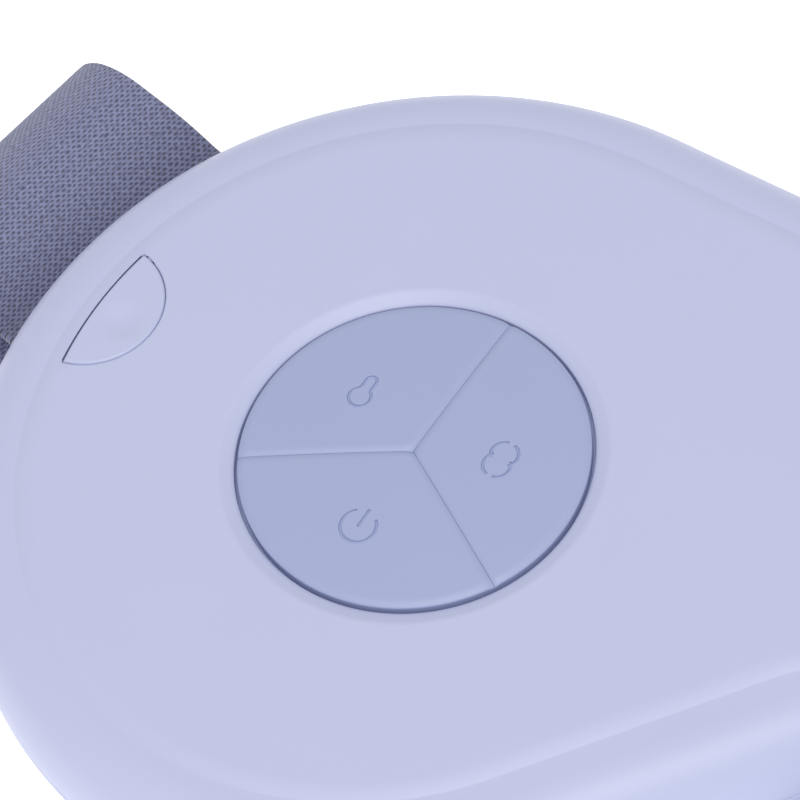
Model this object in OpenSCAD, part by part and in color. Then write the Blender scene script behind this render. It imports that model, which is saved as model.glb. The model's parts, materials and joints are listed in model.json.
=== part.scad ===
// Heating pad for the lower belly on an elastic waist belt, laid down with its belt folded under it.
// X runs along the belt, Y up the belly and Z out of the front. The origin lies on the surface that
// the folded belt rests on, under the middle of the pad.

/* [Housing] */
// Radius of each round lobe at its widest line
lobe_r = 58.5; // [56:0.5:62]
// Distance from the middle of the pad to the centre of each lobe
lobe_dx = 68; // [66:0.5:72]
// Dip of the top edge between the lobes
top_dip = 2; // [1:0.5:5]
// How much smaller than a lobe's radius the radius of its shoulder at the notch is
shoulder_in = 12.5; // [10:0.5:15]
// How much nearer to a lobe's centre the straight side of the notch is than the widest line
flank_in = 5.5; // [4:0.5:6.5]
// Rise of the straight sides of the notch above the X axis
flank_angle = 52; // [48:1:55]
// Radius at the head of the notch
notch_r = 8; // [6:0.5:12]
// Height from the heating face to the plateau of the front
body_h = 21; // [20:0.5:26]
// Width of the rounded rim between the plateau and the widest line
rim_w = 9.3; // [8:0.1:10]
// Height of that rim, with the small step of the crease
rim_drop = 9.5; // [8.5:0.1:10.5]
// Width of the small step that rises from the rim to the plateau
crease_w = 1.3; // [0.8:0.1:2]
// Height of that step
crease_h = 0.33; // [0.2:0.01:0.5]
// Width of the rounded rim below the widest line
back_rim_w = 9; // [7:0.5:11]
// Thickness of the front cover's wall
front_wall = 2; // [1.6:0.1:2.4]
// Thickness of the back cover's side wall
back_wall = 2; // [1.6:0.1:2.4]
// Thickness of the back cover's floor
floor_t = 1.6; // [1.4:0.1:2]
// Height of the lip that locates the front cover on the back cover
lip_h = 1.5; // [1:0.1:2]
// Thickness of that lip
lip_t = 1; // [0.8:0.1:1.3]

/* [Keys] */
// Radius of the round opening that holds the keys
disc_r = 22; // [20:0.5:23]
// Gap between the keys and the opening
key_gap = 0.3; // [0.25:0.05:0.5]
// Gap between two keys
divider_gap = 0.16; // [0.14:0.02:0.4]
// Rise of the key disc's crown above its edge
crown_h = 1; // [0.5:0.1:1.5]
// Depth of the key disc's edge below the plateau
key_sink = 0.4; // [0.2:0.1:0.8]
// Radius of the rounding on the key disc's edge
key_round = 1; // [0.5:0.1:1.2]
// Travel of each key
key_travel = 0.6; // [0.4:0.05:0.7]
// Width of the dished ring round the keys
dish_w = 1.9; // [1.5:0.1:2.5]
// Depth of the dished ring at the opening
dish_h = 0.85; // [0.5:0.05:1]
// Width of the flange that keeps the keys in
key_flange_w = 1.7; // [1.2:0.1:1.8]
// Thickness of that flange
key_flange_t = 1; // [0.8:0.1:1.2]
// Radius of each key's stem
stem_r = 2; // [1.6:0.1:2.2]
// Distance of the stems from the centre of the disc
stem_d = 12; // [11:0.5:13]

/* [Charging port] */
// Radius of the half-round cover's inner edge
cover_r = 9.3; // [9:0.1:9.6]
// Distance from the rim in to the cover's outer edge, which follows the crease
cover_in = 2.35; // [2:0.05:3]
// Distance from that outer edge out to the centre of the inner edge
cover_out = 0.85; // [0.7:0.05:1]
// Thickness of the cover
cover_t = 1.7; // [1.5:0.1:1.9]
// Gap round the cover
cover_gap = 0.2; // [0.15:0.05:0.3]
// Depth of the shallow hollow for a fingertip in the cover
dimple_h = 0.45; // [0.3:0.05:0.6]
// Radius of that hollow
dimple_r = 3.6; // [3:0.1:4]
// Radius of the cover's hinge pins
cover_pin_r = 0.5; // [0.4:0.05:0.6]
// Outer width of the socket's metal shell
socket_w = 8.94; // [8.8:0.02:9.1]
// Outer thickness of the socket's metal shell
socket_t = 3.26; // [3.1:0.02:3.4]

/* [Belt] */
// Width of the elastic webbing
strap_w = 38; // [34:1:40]
// Thickness of the webbing
strap_t = 1.6; // [1.2:0.1:2]
// Angle of each strap above the X axis where it leaves the housing
strap_angle = 12; // [8:1:14]
// Upward slope of the webbing where it leaves the housing
strap_rise = 15; // [8:1:20]
// Distance from the housing to the highest line of the webbing
crest_d = 11; // [9:0.5:14]
// Radius of the webbing's main bend
bend_r = 15; // [13:0.5:17]
// Length of the overlap in the middle of the closed belt
overlap_l = 60; // [50:2:80]
// Thickness of each hook and loop patch
patch_t = 0.4; // [0.3:0.05:0.6]
// Radius of the steel bar in each strap's end loop
bar_r = 1.5; // [1.2:0.1:1.8]

/* [Heater] */
// Thickness of the soft heating face
pad_t = 2.3; // [1.8:0.1:3]
// Thickness of the heating film
film_t = 0.3; // [0.2:0.05:0.4]
// Thickness of the insulating foam
foam_t = 2; // [1.5:0.1:2.5]

/* [Electronics] */
// Radius of the main circuit board
board_r = 30; // [29:0.5:32]
// Thickness of the main circuit board
board_t = 1.2; // [1:0.1:1.6]
// Length of the battery
battery_l = 60; // [50:1:64]
// Width of the battery
battery_w = 44; // [36:1:46]
// Thickness of the battery
battery_t = 7; // [5:0.5:8.5]
// Radius of each vibration motor
motor_r = 5; // [4:0.1:5]
// Length of each vibration motor
motor_l = 18; // [14:0.5:19]
// Radius of each eccentric weight
weight_r = 5.5; // [4.5:0.1:5.5]
// Length of each eccentric weight
weight_l = 6; // [4:0.5:7]

/* [Hidden] */
$fn = 96;

// Colours
shell_col = "#c1c5e4";
key_col = "#a7b0d3";
strap_col = "#7a7d9e";
steel_col = "#b9bcc0";
board_col = "#1f5c3a";
black_col = "#26272b";

// Length of a cut that goes right through any piece
through = 40;

// Small gaps
seat_gap = 0.3;
slip_gap = 0.15;
skin_gap = 0.1;
pin_gap = 0.05;

// Levels, from the surface that the belt rests on
belt_h = 2 * strap_t + 2 * patch_t;
face_z = belt_h + seat_gap;
shell_z = face_z + pad_t;
floor_z = shell_z + floor_t;
foam_z = floor_z + foam_t;
top_z = face_z + body_h;
seam_z = top_z - rim_drop;
ceil_z = top_z - front_wall;

// Outline: a wide arc over the top, a lobe, a shoulder, a straight flank and the notch
dip_s = (lobe_dx * lobe_dx + top_dip * top_dip) / (2 * top_dip);
dip_r = dip_s - lobe_r;
lobe_a0 = atan2(dip_s - top_dip, lobe_dx);
shoulder_r = lobe_r - shoulder_in;
flank_d = lobe_r - flank_in;
flank_n = flank_angle - 90;
shoulder_a = flank_n - acos((flank_d - shoulder_r) / (lobe_r - shoulder_r));
shoulder_c = [-lobe_dx, 0] + (lobe_r - shoulder_r) * [cos(shoulder_a), sin(shoulder_a)];
notch_y = (flank_d + notch_r - lobe_dx * cos(flank_n)) / sin(flank_n);

function arc(c, r, a0, a1, n) = [for (i = [0:n]) let (a = a0 + (a1 - a0) * i / n) c + r * [cos(a), sin(a)]];

function half_outline(d) = concat(
    arc([0, dip_s - top_dip], dip_r + d, 270, 180 + lobe_a0, 3),
    [for (i = [1:36]) arc([-lobe_dx, 0], lobe_r - d, lobe_a0, 360 + shoulder_a, 36)[i]],
    [for (i = [1:10]) arc(shoulder_c, shoulder_r - d, shoulder_a, flank_n, 10)[i]],
    arc([0, notch_y], notch_r + d, 180 + flank_n, 90, 6));

function outline(d) = let (h = half_outline(d), n = len(h))
    concat(h, [for (i = [n - 2:-1:1]) [-h[i][0], h[i][1]]]);

// Solid through rings of the outline, each given by its inset and height
module loft(rings) {
    n = len(outline(0));
    m = len(rings);
    pts = [for (r = rings) for (p = outline(r[0])) [p[0], p[1], r[1]]];
    sides = [for (k = [0:m - 2]) for (i = [0:n - 1]) let (a = k * n + i, b = k * n + (i + 1) % n)
        each [[a, a + n, b + n], [a, b + n, b]]];
    caps = [[for (i = [0:n - 1]) i], [for (i = [n - 1:-1:0]) (m - 1) * n + i]];
    polyhedron(pts, concat(sides, caps));
}

// Flat piece between two insets of the outline
module outline_plate(d, z0, z1) {
    translate([0, 0, z0])
        linear_extrude(z1 - z0)
            polygon(outline(d));
}

// Rim of the front: an arc of an ellipse, then the small step of the crease up to the plateau
crease_t = 78;
front_steps = 7;
function rim_share(t) = (1 - cos(t)) / (1 - cos(crease_t));
function front_rings() = concat([for (i = [0:front_steps]) let (t = crease_t * i / front_steps)
    [rim_w * rim_share(t), seam_z + (rim_drop - crease_h) * sin(t) / sin(crease_t)]],
    [for (u = [0.35:0.325:1]) [rim_w + crease_w * u, top_z - crease_h * (1 - u) * (1 - u)]]);
cavity_steps = 4;
lip_top = seam_z + lip_h + seat_gap;
function front_cavity() = concat([[front_wall, seam_z - 1]],
    [for (i = [0:cavity_steps]) let (t = crease_t * i / cavity_steps)
        [front_wall + rim_w * rim_share(t), lip_top + (ceil_z - lip_top) * sin(t) / sin(crease_t)]]);

// Rim of the back: a quarter of an ellipse down to the flat floor
back_steps = 6;
function back_rings() = [for (i = [back_steps:-1:0]) let (t = 90 * i / back_steps)
    [back_rim_w * (1 - cos(t)), seam_z - (seam_z - shell_z) * sin(t)]];
function back_cavity() = concat([for (i = [cavity_steps:-1:0]) let (t = 90 * i / cavity_steps)
    [back_wall + back_rim_w * (1 - cos(t)), seam_z - (seam_z - floor_z) * sin(t)]],
    [[back_wall, seam_z + 1]]);

// Places that repeat on both lobes, from the lobe's centre; the right lobe mirrors the left
screw_places = [[lobe_r - 17.5, 115], [lobe_r - 17.5, 215], [lobe_r - 20.5, 322]];
screw_boss_r = 3.2;
board_screw_d = board_r - 4;
board_boss_r = 2.6;
module both_lobes() {
    for (m = [0, 1])
        mirror([m, 0, 0])
            translate([-lobe_dx, 0, 0])
                children();
}
module at_left_lobe() {
    translate([-lobe_dx, 0, 0])
        children();
}
module at_shell_screws() {
    both_lobes()
        for (p = screw_places)
            rotate(p[1])
                translate([p[0], 0, 0])
                    children();
}
module at_board_screws() {
    at_left_lobe()
        for (a = [45:90:315])
            rotate(a)
                translate([board_screw_d, 0, 0])
                    children();
}

// Screws
shank_r = 1;
screw_head_r = 2.3;
screw_head_h = 1.6;
small_head_r = 1.5;
small_head_h = 0.8;
retainer_shank_r = 0.8;
socket_shank_r = 0.7;
board_head_r = 1.9;
board_head_h = 1;
board_shank_r = 0.9;
hole_gap = 0.2;
boss_top = floor_z + 5;
pilot_top = boss_top + 7;

// Keys, from the plateau down
key_edge_z = top_z - key_sink;
key_r = disc_r - key_gap;
flange_top = ceil_z - skin_gap;
flange_bot = flange_top - key_flange_t;
flange_r = disc_r + key_flange_w;
well_r = flange_r + 0.4;
well_out_r = well_r + 1.5;
membrane_top = flange_bot - key_travel - skin_gap;
membrane_t = 0.6;
retainer_top = membrane_top - membrane_t;
retainer_t = 1.2;
retainer_ear_r = 2.4;
retainer_ear_d = well_out_r + 1.6;
retainer_ear_a = [90, 210, 330];
board_top = membrane_top - 6.9;
board_z = board_top - board_t;
switch_h = 3.5;
switch_w = 6;
plunger_r = 1.7;
plunger_top = board_top + switch_h + 1;
key_mid = [["power", 270], ["heat", 150], ["massage", 30]];

// Charging port
cover_edge_r = lobe_r - rim_w - cover_in;
cover_x = -cover_edge_r - cover_out;
hinge_r = cover_t / 2;
hinge_z = top_z - hinge_r;
hinge_in = 0.7;
hinge_x = hinge_in - sqrt(cover_edge_r * cover_edge_r - cover_r * cover_r);
pin_l = 9.7;
port_floor_top = top_z - cover_t - cover_gap;
port_floor_t = 1.2;
port_y = -0.9;
socket_x = hinge_x + hinge_r + 2;
socket_top = port_floor_top - 0.3;
socket_h = 8;
socket_board_t = 1;
socket_board_top = socket_top - socket_h;
socket_board_w = 8.5;
socket_board_x = socket_x - 1.8;
socket_board_l = 20;
socket_screw_x = socket_x + 3.2;
socket_screw_y = 7.5;

// Belt: the webbing wraps the bar, leaves through the seam, folds over and runs back under the pad
bar_in = 11.5;
bar_u = lobe_r - bar_in;
slot_start = 3;
slot_l = bar_in + 2.5;
slot_gap = 0.5;
wrap_r = bar_r + seat_gap + strap_t / 2;
bar_z = seam_z + wrap_r;
bar_half = strap_w / 2 + 3.4;
post_in = strap_w / 2 + 0.6;
post_t = 3;
lift_r = 8;
crest_r = (crest_d + 0.5 - lift_r * sin(strap_rise)) / sin(strap_rise);
crest_z = seam_z + (lift_r + crest_r) * (1 - cos(strap_rise));
flat_l = 4.4;
main_turn = 70;
low_r = (crest_z - strap_t / 2 - bend_r * (1 - cos(main_turn))) / (1 + cos(main_turn));
crest_u = lobe_r - 0.5 + (lift_r + crest_r) * sin(strap_rise);
fold_u = crest_u + flat_l + (bend_r - low_r) * sin(main_turn);
run_r = (lobe_dx + fold_u * cos(strap_angle)) / sin(strap_angle);
run_y = fold_u * sin(strap_angle) + run_r * cos(strap_angle);
overlap_a = overlap_l / 2 / run_r * 180 / PI;
ramp_a = 12 / run_r * 180 / PI;
lift_h = strap_t + 2 * patch_t;

// Points of the strap's middle line before the run under the pad: distance out, height and slope
function fold_path() = concat(
    [for (a = [-25:25:250]) [bar_u + wrap_r * cos(a), bar_z + wrap_r * sin(a), a + 90]],
    [[bar_u, seam_z, 360], [lobe_r - 0.5, seam_z, 360]],
    [for (i = [1:2]) let (a = strap_rise * i / 2)
        [lobe_r - 0.5 + lift_r * sin(a), seam_z + lift_r * (1 - cos(a)), 360 + a]],
    [for (i = [3:-1:0]) let (a = strap_rise * i / 4)
        [crest_u - crest_r * sin(a), crest_z - crest_r * (1 - cos(a)), 360 + a]],
    [for (i = [0:7]) let (a = main_turn * i / 7)
        [crest_u + flat_l + bend_r * sin(a), crest_z - bend_r * (1 - cos(a)), 360 - a]],
    [for (i = [1:8]) let (a = main_turn + (180 - main_turn) * i / 8)
        [fold_u + low_r * sin(a), strap_t / 2 - low_r * (cos(a) + 1) * -1, 360 - a]]);

// Cross-section of the webbing: its middle, its width direction and its thickness direction
function strap_ring(c, w, t, half_w) = [for (s = [[-1, -1], [1, -1], [1, 1], [-1, 1]])
    c + s[0] * half_w * w + s[1] * strap_t / 2 * t];
function fold_rings() = let (u = [-cos(strap_angle), sin(strap_angle), 0],
        v = [sin(strap_angle), cos(strap_angle), 0])
    [for (p = fold_path()) strap_ring([-lobe_dx, 0, p[1]] + p[0] * u, v,
        -sin(p[2]) * u + [0, 0, cos(p[2])], strap_w / 2)];
function run_rings(end_a, lift) = [for (i = [1:24])
    let (a = 270 - strap_angle + (end_a + strap_angle) * i / 24,
        s = max(0, min(1, (a - 270 + overlap_a + 2 * ramp_a) / ramp_a)),
        z = strap_t / 2 + lift * s * s * (3 - 2 * s))
    strap_ring([run_r * cos(a), run_y + run_r * sin(a), z], [-cos(a), -sin(a), 0], [0, 0, -1],
        strap_w / 2)];
module strap_body(lift) {
    rings = concat(fold_rings(), run_rings(overlap_a, lift));
    m = len(rings);
    pts = [for (r = rings) for (p = r) p];
    sides = [for (k = [0:m - 2]) for (i = [0:3]) let (a = 4 * k + i, b = 4 * k + (i + 1) % 4)
        each [[a, b, b + 4], [a, b + 4, a + 4]]];
    caps = [[3, 2, 1, 0], [for (i = [0:3]) 4 * (m - 1) + i]];
    polyhedron(pts, concat(sides, caps));
}
module along_strap() {
    rotate(180 - strap_angle)
        children();
}

// Vibration motors, below the board and the battery
motor_y = -board_r - weight_r - 2.5;
motor_z = foam_z + weight_r + 0.5;
motor_x = -14;
shaft_r = 1;
sleeve_t = 1;
saddle_t = 2;
saddle_x = [motor_x + 3, motor_x + motor_l - 5];
sleeve_l = saddle_x[1] - saddle_x[0] + saddle_t + 2;

module front_cover() {
    color(shell_col)
        difference() {
            union() {
                difference() {
                    loft(front_rings());
                    loft(front_cavity());
                }
                front_inside();
            }
            front_openings();
        }
}

// Ring round the keys, screw bosses, floor of the port and ribs over the strap bars
module front_inside() {
    at_left_lobe() {
        translate([0, 0, membrane_top])
            difference() {
                cylinder(h = ceil_z - membrane_top + 0.5, r = well_out_r);
                translate([0, 0, -1])
                    cylinder(h = 20, r = well_r);
            }
        for (a = retainer_ear_a)
            rotate(a)
                translate([retainer_ear_d, 0, membrane_top])
                    cylinder(h = ceil_z - membrane_top + 0.5, r = retainer_ear_r);
        translate([-cover_edge_r - 1.2, port_y - cover_r - 1.5, port_floor_top - port_floor_t])
            cube([cover_r + 1.6, 2 * cover_r + 3, ceil_z - port_floor_top + port_floor_t + 0.5]);
    }
    at_shell_screws()
        translate([0, 0, boss_top])
            cylinder(h = ceil_z - boss_top + 0.5, r = screw_boss_r);
    both_lobes()
        along_strap()
            for (s = [-1, 1])
                translate([bar_u - 1, s * (post_in + post_t / 2) - 1, bar_z + bar_r])
                    cube([2, 2, ceil_z - bar_z - bar_r + 0.5]);
}

// Half-round shape between a round inner edge and an outer edge that follows the crease
module cover_shape(z, h, inset) {
    translate([0, 0, z])
        intersection() {
            translate([cover_x, port_y, 0])
                cylinder(h = h, r = cover_r - inset);
            cylinder(h = h, r = cover_edge_r - inset);
        }
}

// Half section of the space that the cover's outer edge swings through, about the hinge's axis
function swing_profile() = concat([[0, 9], [0, -9]],
    [for (y = [-9:2:9]) let (out = sqrt(pow(cover_edge_r, 2) - pow(port_y - y, 2)) + hinge_x - 0.05)
        [norm([max(out, 0.2), hinge_r]), y]]);

module front_openings() {
    at_left_lobe() {
        translate([0, 0, ceil_z - 1])
            cylinder(h = 10, r = disc_r);
        translate([0, 0, top_z - dish_h])
            cylinder(h = dish_h + 0.01, r1 = disc_r, r2 = disc_r + dish_w);
        for (a = retainer_ear_a)
            rotate(a)
                translate([retainer_ear_d, 0, membrane_top - 1])
                    cylinder(h = 2.5, r = retainer_shank_r + pin_gap);
        cover_shape(port_floor_top, 5, 0);
        translate([hinge_x, port_y, hinge_z])
            rotate([90, 0, 0]) {
                cylinder(h = 2 * (pin_l + 0.2), r = cover_pin_r + pin_gap, center = true);
                rotate_extrude()
                    polygon(swing_profile());
            }
        translate([socket_x, port_y, port_floor_top - port_floor_t - 1])
            slot_shape(socket_t + 2 * slip_gap, socket_w + 2 * slip_gap, 5);
    }
    at_shell_screws()
        translate([0, 0, boss_top - 1])
            cylinder(h = pilot_top - boss_top + 1, r = shank_r + pin_gap);
    strap_slots(seam_z - 1, seam_z + strap_t / 2 + 0.5);
}

// Upright slot with round ends, its length along Y
module slot_shape(t, w, h) {
    for (s = [-1, 1])
        translate([0, s * (w - t) / 2, 0])
            cylinder(h = h, r = t / 2);
    translate([-t / 2, -(w - t) / 2, 0])
        cube([t, w - t, h]);
}

module strap_slots(z0, z1) {
    both_lobes()
        along_strap()
            translate([bar_u + slot_start, -strap_w / 2 - slot_gap, z0])
                cube([slot_l, strap_w + 2 * slot_gap, z1 - z0]);
}

module back_cover() {
    color(shell_col)
        difference() {
            union() {
                difference() {
                    loft(back_rings());
                    loft(back_cavity());
                }
                back_lip();
                back_inside();
            }
            back_openings();
        }
}

module back_lip() {
    lip_d = front_wall + slip_gap;
    difference() {
        union() {
            outline_plate(back_wall - 0.6, seam_z - 2, seam_z);
            outline_plate(lip_d, seam_z - 1, seam_z + lip_h);
        }
        outline_plate(lip_d + lip_t, seam_z - 3, seam_z + lip_h + 1);
    }
}

// Bosses, posts for the strap bars, cradle ribs for the battery and saddles for the motors
module back_inside() {
    at_shell_screws()
        translate([0, 0, floor_z - 0.5])
            cylinder(h = boss_top - floor_z + 0.5, r = screw_boss_r + 0.6);
    at_board_screws()
        translate([0, 0, floor_z - 0.5])
            cylinder(h = board_z - floor_z + 0.5, r = board_boss_r);
    at_left_lobe()
        for (s = [-1, 1])
            translate([socket_screw_x, port_y + s * socket_screw_y, floor_z - 0.5])
                cylinder(h = socket_board_top - socket_board_t - floor_z + 0.5, r = 2);
    both_lobes() {
        along_strap()
            for (s = [-1, 1])
                translate([bar_u - 2.2, s * (post_in + post_t / 2) - post_t / 2, floor_z - 0.5])
                    cube([4.4, post_t, bar_z + 0.3 - floor_z + 0.5]);
        for (x = saddle_x)
            translate([x, motor_y - motor_r - sleeve_t - 1, floor_z - 0.5])
                cube([saddle_t, 2 * (motor_r + sleeve_t + 1), motor_z - floor_z + 0.5]);
    }
    battery_ribs();
}

rib_t = 1.5;
battery_y = 7;
module battery_ribs() {
    for (s = [-1, 1], t = [-1, 1])
        translate([lobe_dx + s * (battery_l / 2 + seat_gap + rib_t / 2), battery_y + t * battery_w / 4, 0])
            translate([-rib_t / 2, -4, floor_z - 0.5])
                cube([rib_t, 8, foam_t + battery_t / 2 + 1]);
}

module back_openings() {
    at_shell_screws() {
        translate([0, 0, shell_z - 1])
            cylinder(h = screw_head_h + 0.1 + 1, r = screw_head_r + 0.3);
        cylinder(h = through, r = shank_r + 0.3);
    }
    at_board_screws()
        translate([0, 0, floor_z + 0.2])
            cylinder(h = through, r = board_shank_r + pin_gap);
    at_left_lobe()
        for (s = [-1, 1])
            translate([socket_screw_x, port_y + s * socket_screw_y, floor_z + 0.2])
                cylinder(h = through, r = socket_shank_r + pin_gap);
    both_lobes() {
        along_strap()
            translate([bar_u, 0, bar_z]) {
                rotate([90, 0, 0])
                    cylinder(h = 2 * bar_half + 1, r = bar_r + pin_gap, center = true);
                translate([-bar_r - pin_gap, -bar_half - 0.5, 0])
                    cube([2 * (bar_r + pin_gap), 2 * bar_half + 1, 5]);
            }
        translate([saddle_x[0] - 1, motor_y, motor_z])
            rotate([0, 90, 0])
                cylinder(h = sleeve_l, r = motor_r + sleeve_t + skin_gap);
    }
    strap_slots(seam_z - strap_t / 2 - 0.5, seam_z + 5);
}

// Screw with its head at the bottom and its shank upwards
module screw(head_r, head_h, r, l) {
    cylinder(h = head_h, r = head_r);
    cylinder(h = head_h + l, r = r);
}

module shell_screws() {
    color(steel_col)
        at_shell_screws()
            translate([0, 0, shell_z + 0.1])
                screw(screw_head_r, screw_head_h, shank_r, pilot_top - shell_z - screw_head_h - 1);
}

// Half section of the whole key disc, from its axis to its flange
function key_profile() = let (er = key_r - key_round,
        dome_r = (key_r * key_r + crown_h * crown_h) / (2 * crown_h))
    concat([[0, flange_bot], [flange_r, flange_bot], [flange_r, flange_top], [key_r, flange_top]],
        [for (a = [0:22.5:67.5]) [er + key_round * cos(a),
            key_edge_z + dome_z(er, dome_r) - key_round + key_round * sin(a)]],
        [for (i = [5:-1:0]) [er * i / 5, key_edge_z + dome_z(er * i / 5, dome_r)]]);
function dome_z(x, r) = crown_h - (r - sqrt(r * r - x * x));

module key(mid_a) {
    w = divider_gap / 2 / sin(60);
    side = 2 * disc_r;
    color(key_col)
        at_left_lobe() {
            intersection() {
                rotate_extrude()
                    polygon(key_profile());
                rotate(mid_a)
                    translate([w, 0, flange_bot - 1])
                        linear_extrude(10)
                            polygon([[0, 0], side * [cos(60), -sin(60)], [1.2 * side, 0],
                                side * [cos(60), sin(60)]]);
            }
            rotate(mid_a)
                translate([stem_d, 0, plunger_top])
                    cylinder(h = flange_bot - plunger_top + 0.5, r = stem_r);
        }
}
module key_power() {
    key(key_mid[0][1]);
}
module key_heat() {
    key(key_mid[1][1]);
}
module key_massage() {
    key(key_mid[2][1]);
}

module keypad_membrane() {
    color(key_col)
        at_left_lobe()
            translate([0, 0, retainer_top])
                difference() {
                    cylinder(h = membrane_t, r = well_out_r);
                    for (k = key_mid)
                        rotate(k[1])
                            translate([stem_d, 0, -1])
                                cylinder(h = 5, r = stem_r + 0.4);
                }
}

module key_retainer() {
    color("white")
        at_left_lobe()
            translate([0, 0, retainer_top - retainer_t])
                difference() {
                    union() {
                        cylinder(h = retainer_t, r = well_out_r);
                        for (a = retainer_ear_a)
                            rotate(a)
                                translate([retainer_ear_d, 0, 0])
                                    cylinder(h = retainer_t + membrane_t, r = retainer_ear_r);
                    }
                    translate([0, 0, retainer_t])
                        cylinder(h = 5, r = well_out_r + 0.1);
                    for (k = key_mid)
                        rotate(k[1])
                            translate([stem_d, 0, -1])
                                cylinder(h = 5, r = stem_r + 1.4);
                    for (a = retainer_ear_a)
                        rotate(a)
                            translate([retainer_ear_d, 0, -1])
                                cylinder(h = 5, r = retainer_shank_r + hole_gap);
                }
}

module retainer_screws() {
    color(steel_col)
        at_left_lobe()
            for (a = retainer_ear_a)
                rotate(a)
                    translate([retainer_ear_d, 0, retainer_top - retainer_t - small_head_h])
                        screw(small_head_r, small_head_h, retainer_shank_r, retainer_t + membrane_t + 1.3);
}

module plunger(mid_a) {
    color(black_col)
        at_left_lobe()
            rotate(mid_a)
                translate([stem_d, 0, plunger_top - 2.2])
                    cylinder(h = 2.2, r = plunger_r);
}
module power_plunger() {
    plunger(key_mid[0][1]);
}
module heat_plunger() {
    plunger(key_mid[1][1]);
}
module massage_plunger() {
    plunger(key_mid[2][1]);
}

module tact_switches() {
    color(black_col)
        at_left_lobe()
            for (k = key_mid)
                rotate(k[1])
                    translate([stem_d, 0, board_top])
                        difference() {
                            translate([-switch_w / 2, -switch_w / 2, 0])
                                cube([switch_w, switch_w, switch_h]);
                            translate([0, 0, 0.5])
                                cylinder(h = 5, r = plunger_r + pin_gap);
                        }
}

module main_board() {
    color(board_col)
        difference() {
            at_left_lobe()
                translate([0, 0, board_z])
                    cylinder(h = board_t, r = board_r);
            at_board_screws()
                cylinder(h = through, r = board_shank_r + hole_gap);
        }
}

// Controller, coil, transistors and capacitors
chips = [[0, 0, 7, 7, 1], [3, 18, 6, 6, 3], [-8, 17, 5, 4, 1.2], [-17, -12, 4, 5, 1.2], [14, -14, 5, 5, 1.8],
    [21, 4, 3, 6, 1.2], [-22, 5, 3, 5, 1]];
module board_components() {
    color(black_col)
        at_left_lobe()
            for (c = chips)
                translate([c[0] - c[2] / 2, c[1] - c[3] / 2, board_top])
                    cube([c[2], c[3], c[4]]);
}

module indicator_leds() {
    color("white")
        at_left_lobe()
            for (k = key_mid)
                rotate(k[1])
                    translate([stem_d + 5, -1, board_top])
                        cube([1.6, 2, 0.8]);
}

module board_screws() {
    color(steel_col)
        at_board_screws()
            translate([0, 0, board_top + board_head_h])
                mirror([0, 0, 1])
                    screw(board_head_r, board_head_h, board_shank_r, board_t + 3.4);
}

module port_cover() {
    dimple_ball = (dimple_r * dimple_r + dimple_h * dimple_h) / (2 * dimple_h);
    color(shell_col)
        at_left_lobe() {
            difference() {
                cover_shape(top_z - cover_t, cover_t, cover_gap);
                translate([cover_x + 5.1, port_y - 0.5, top_z - dimple_h + dimple_ball])
                    sphere(dimple_ball);
            }
            translate([hinge_x, port_y, hinge_z])
                rotate([90, 0, 0])
                    cylinder(h = 2 * pin_l, r = cover_pin_r, center = true);
        }
}

module charging_socket() {
    color(steel_col)
        at_left_lobe()
            translate([socket_x, port_y, socket_board_top])
                difference() {
                    slot_shape(socket_t, socket_w, socket_h);
                    translate([0, 0, 0.8])
                        slot_shape(socket_t - 0.6, socket_w - 0.6, socket_h);
                }
}

module socket_contacts() {
    color(black_col)
        at_left_lobe()
            translate([socket_x - 0.35, port_y - 3.3, socket_board_top + 0.8])
                cube([0.7, 6.6, socket_h - 1.4]);
}

module socket_board() {
    color(board_col)
        at_left_lobe()
            difference() {
                translate([socket_board_x, port_y - socket_board_l / 2, socket_board_top - socket_board_t])
                    cube([socket_board_w, socket_board_l, socket_board_t]);
                for (s = [-1, 1])
                    translate([socket_screw_x, port_y + s * socket_screw_y, 0])
                        cylinder(h = through, r = socket_shank_r + hole_gap);
            }
}

module socket_board_screws() {
    color(steel_col)
        at_left_lobe()
            for (s = [-1, 1])
                translate([socket_screw_x, port_y + s * socket_screw_y, socket_board_top + small_head_h])
                    mirror([0, 0, 1])
                        screw(small_head_r, small_head_h, socket_shank_r, socket_board_t + 3);
}

module battery() {
    color("silver")
        translate([lobe_dx - battery_l / 2, battery_y - battery_w / 2, foam_z + 0.5])
            cube([battery_l, battery_w, battery_t]);
}

module battery_foam_tape() {
    color(black_col)
        translate([lobe_dx - battery_l / 2 + 4, battery_y - battery_w / 2 + 4, foam_z])
            cube([battery_l - 8, battery_w - 8, 0.5]);
}

// Motor along X with the weight on its left end
module motor() {
    color(steel_col)
        translate([motor_x, motor_y, motor_z])
            rotate([0, 90, 0])
                difference() {
                    cylinder(h = motor_l, r = motor_r);
                    translate([0, 0, -1])
                        cylinder(h = motor_l - 2, r = shaft_r + pin_gap);
                }
}
module left_motor() {
    at_left_lobe()
        motor();
}
module right_motor() {
    mirror([1, 0, 0])
        at_left_lobe()
            motor();
}

module motor_shaft() {
    color(steel_col)
        translate([motor_x - weight_l - 2, motor_y, motor_z])
            rotate([0, 90, 0])
                cylinder(h = weight_l + 2 + motor_l - 4, r = shaft_r);
}
module left_motor_shaft() {
    at_left_lobe()
        motor_shaft();
}
module right_motor_shaft() {
    mirror([1, 0, 0])
        at_left_lobe()
            motor_shaft();
}

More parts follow.
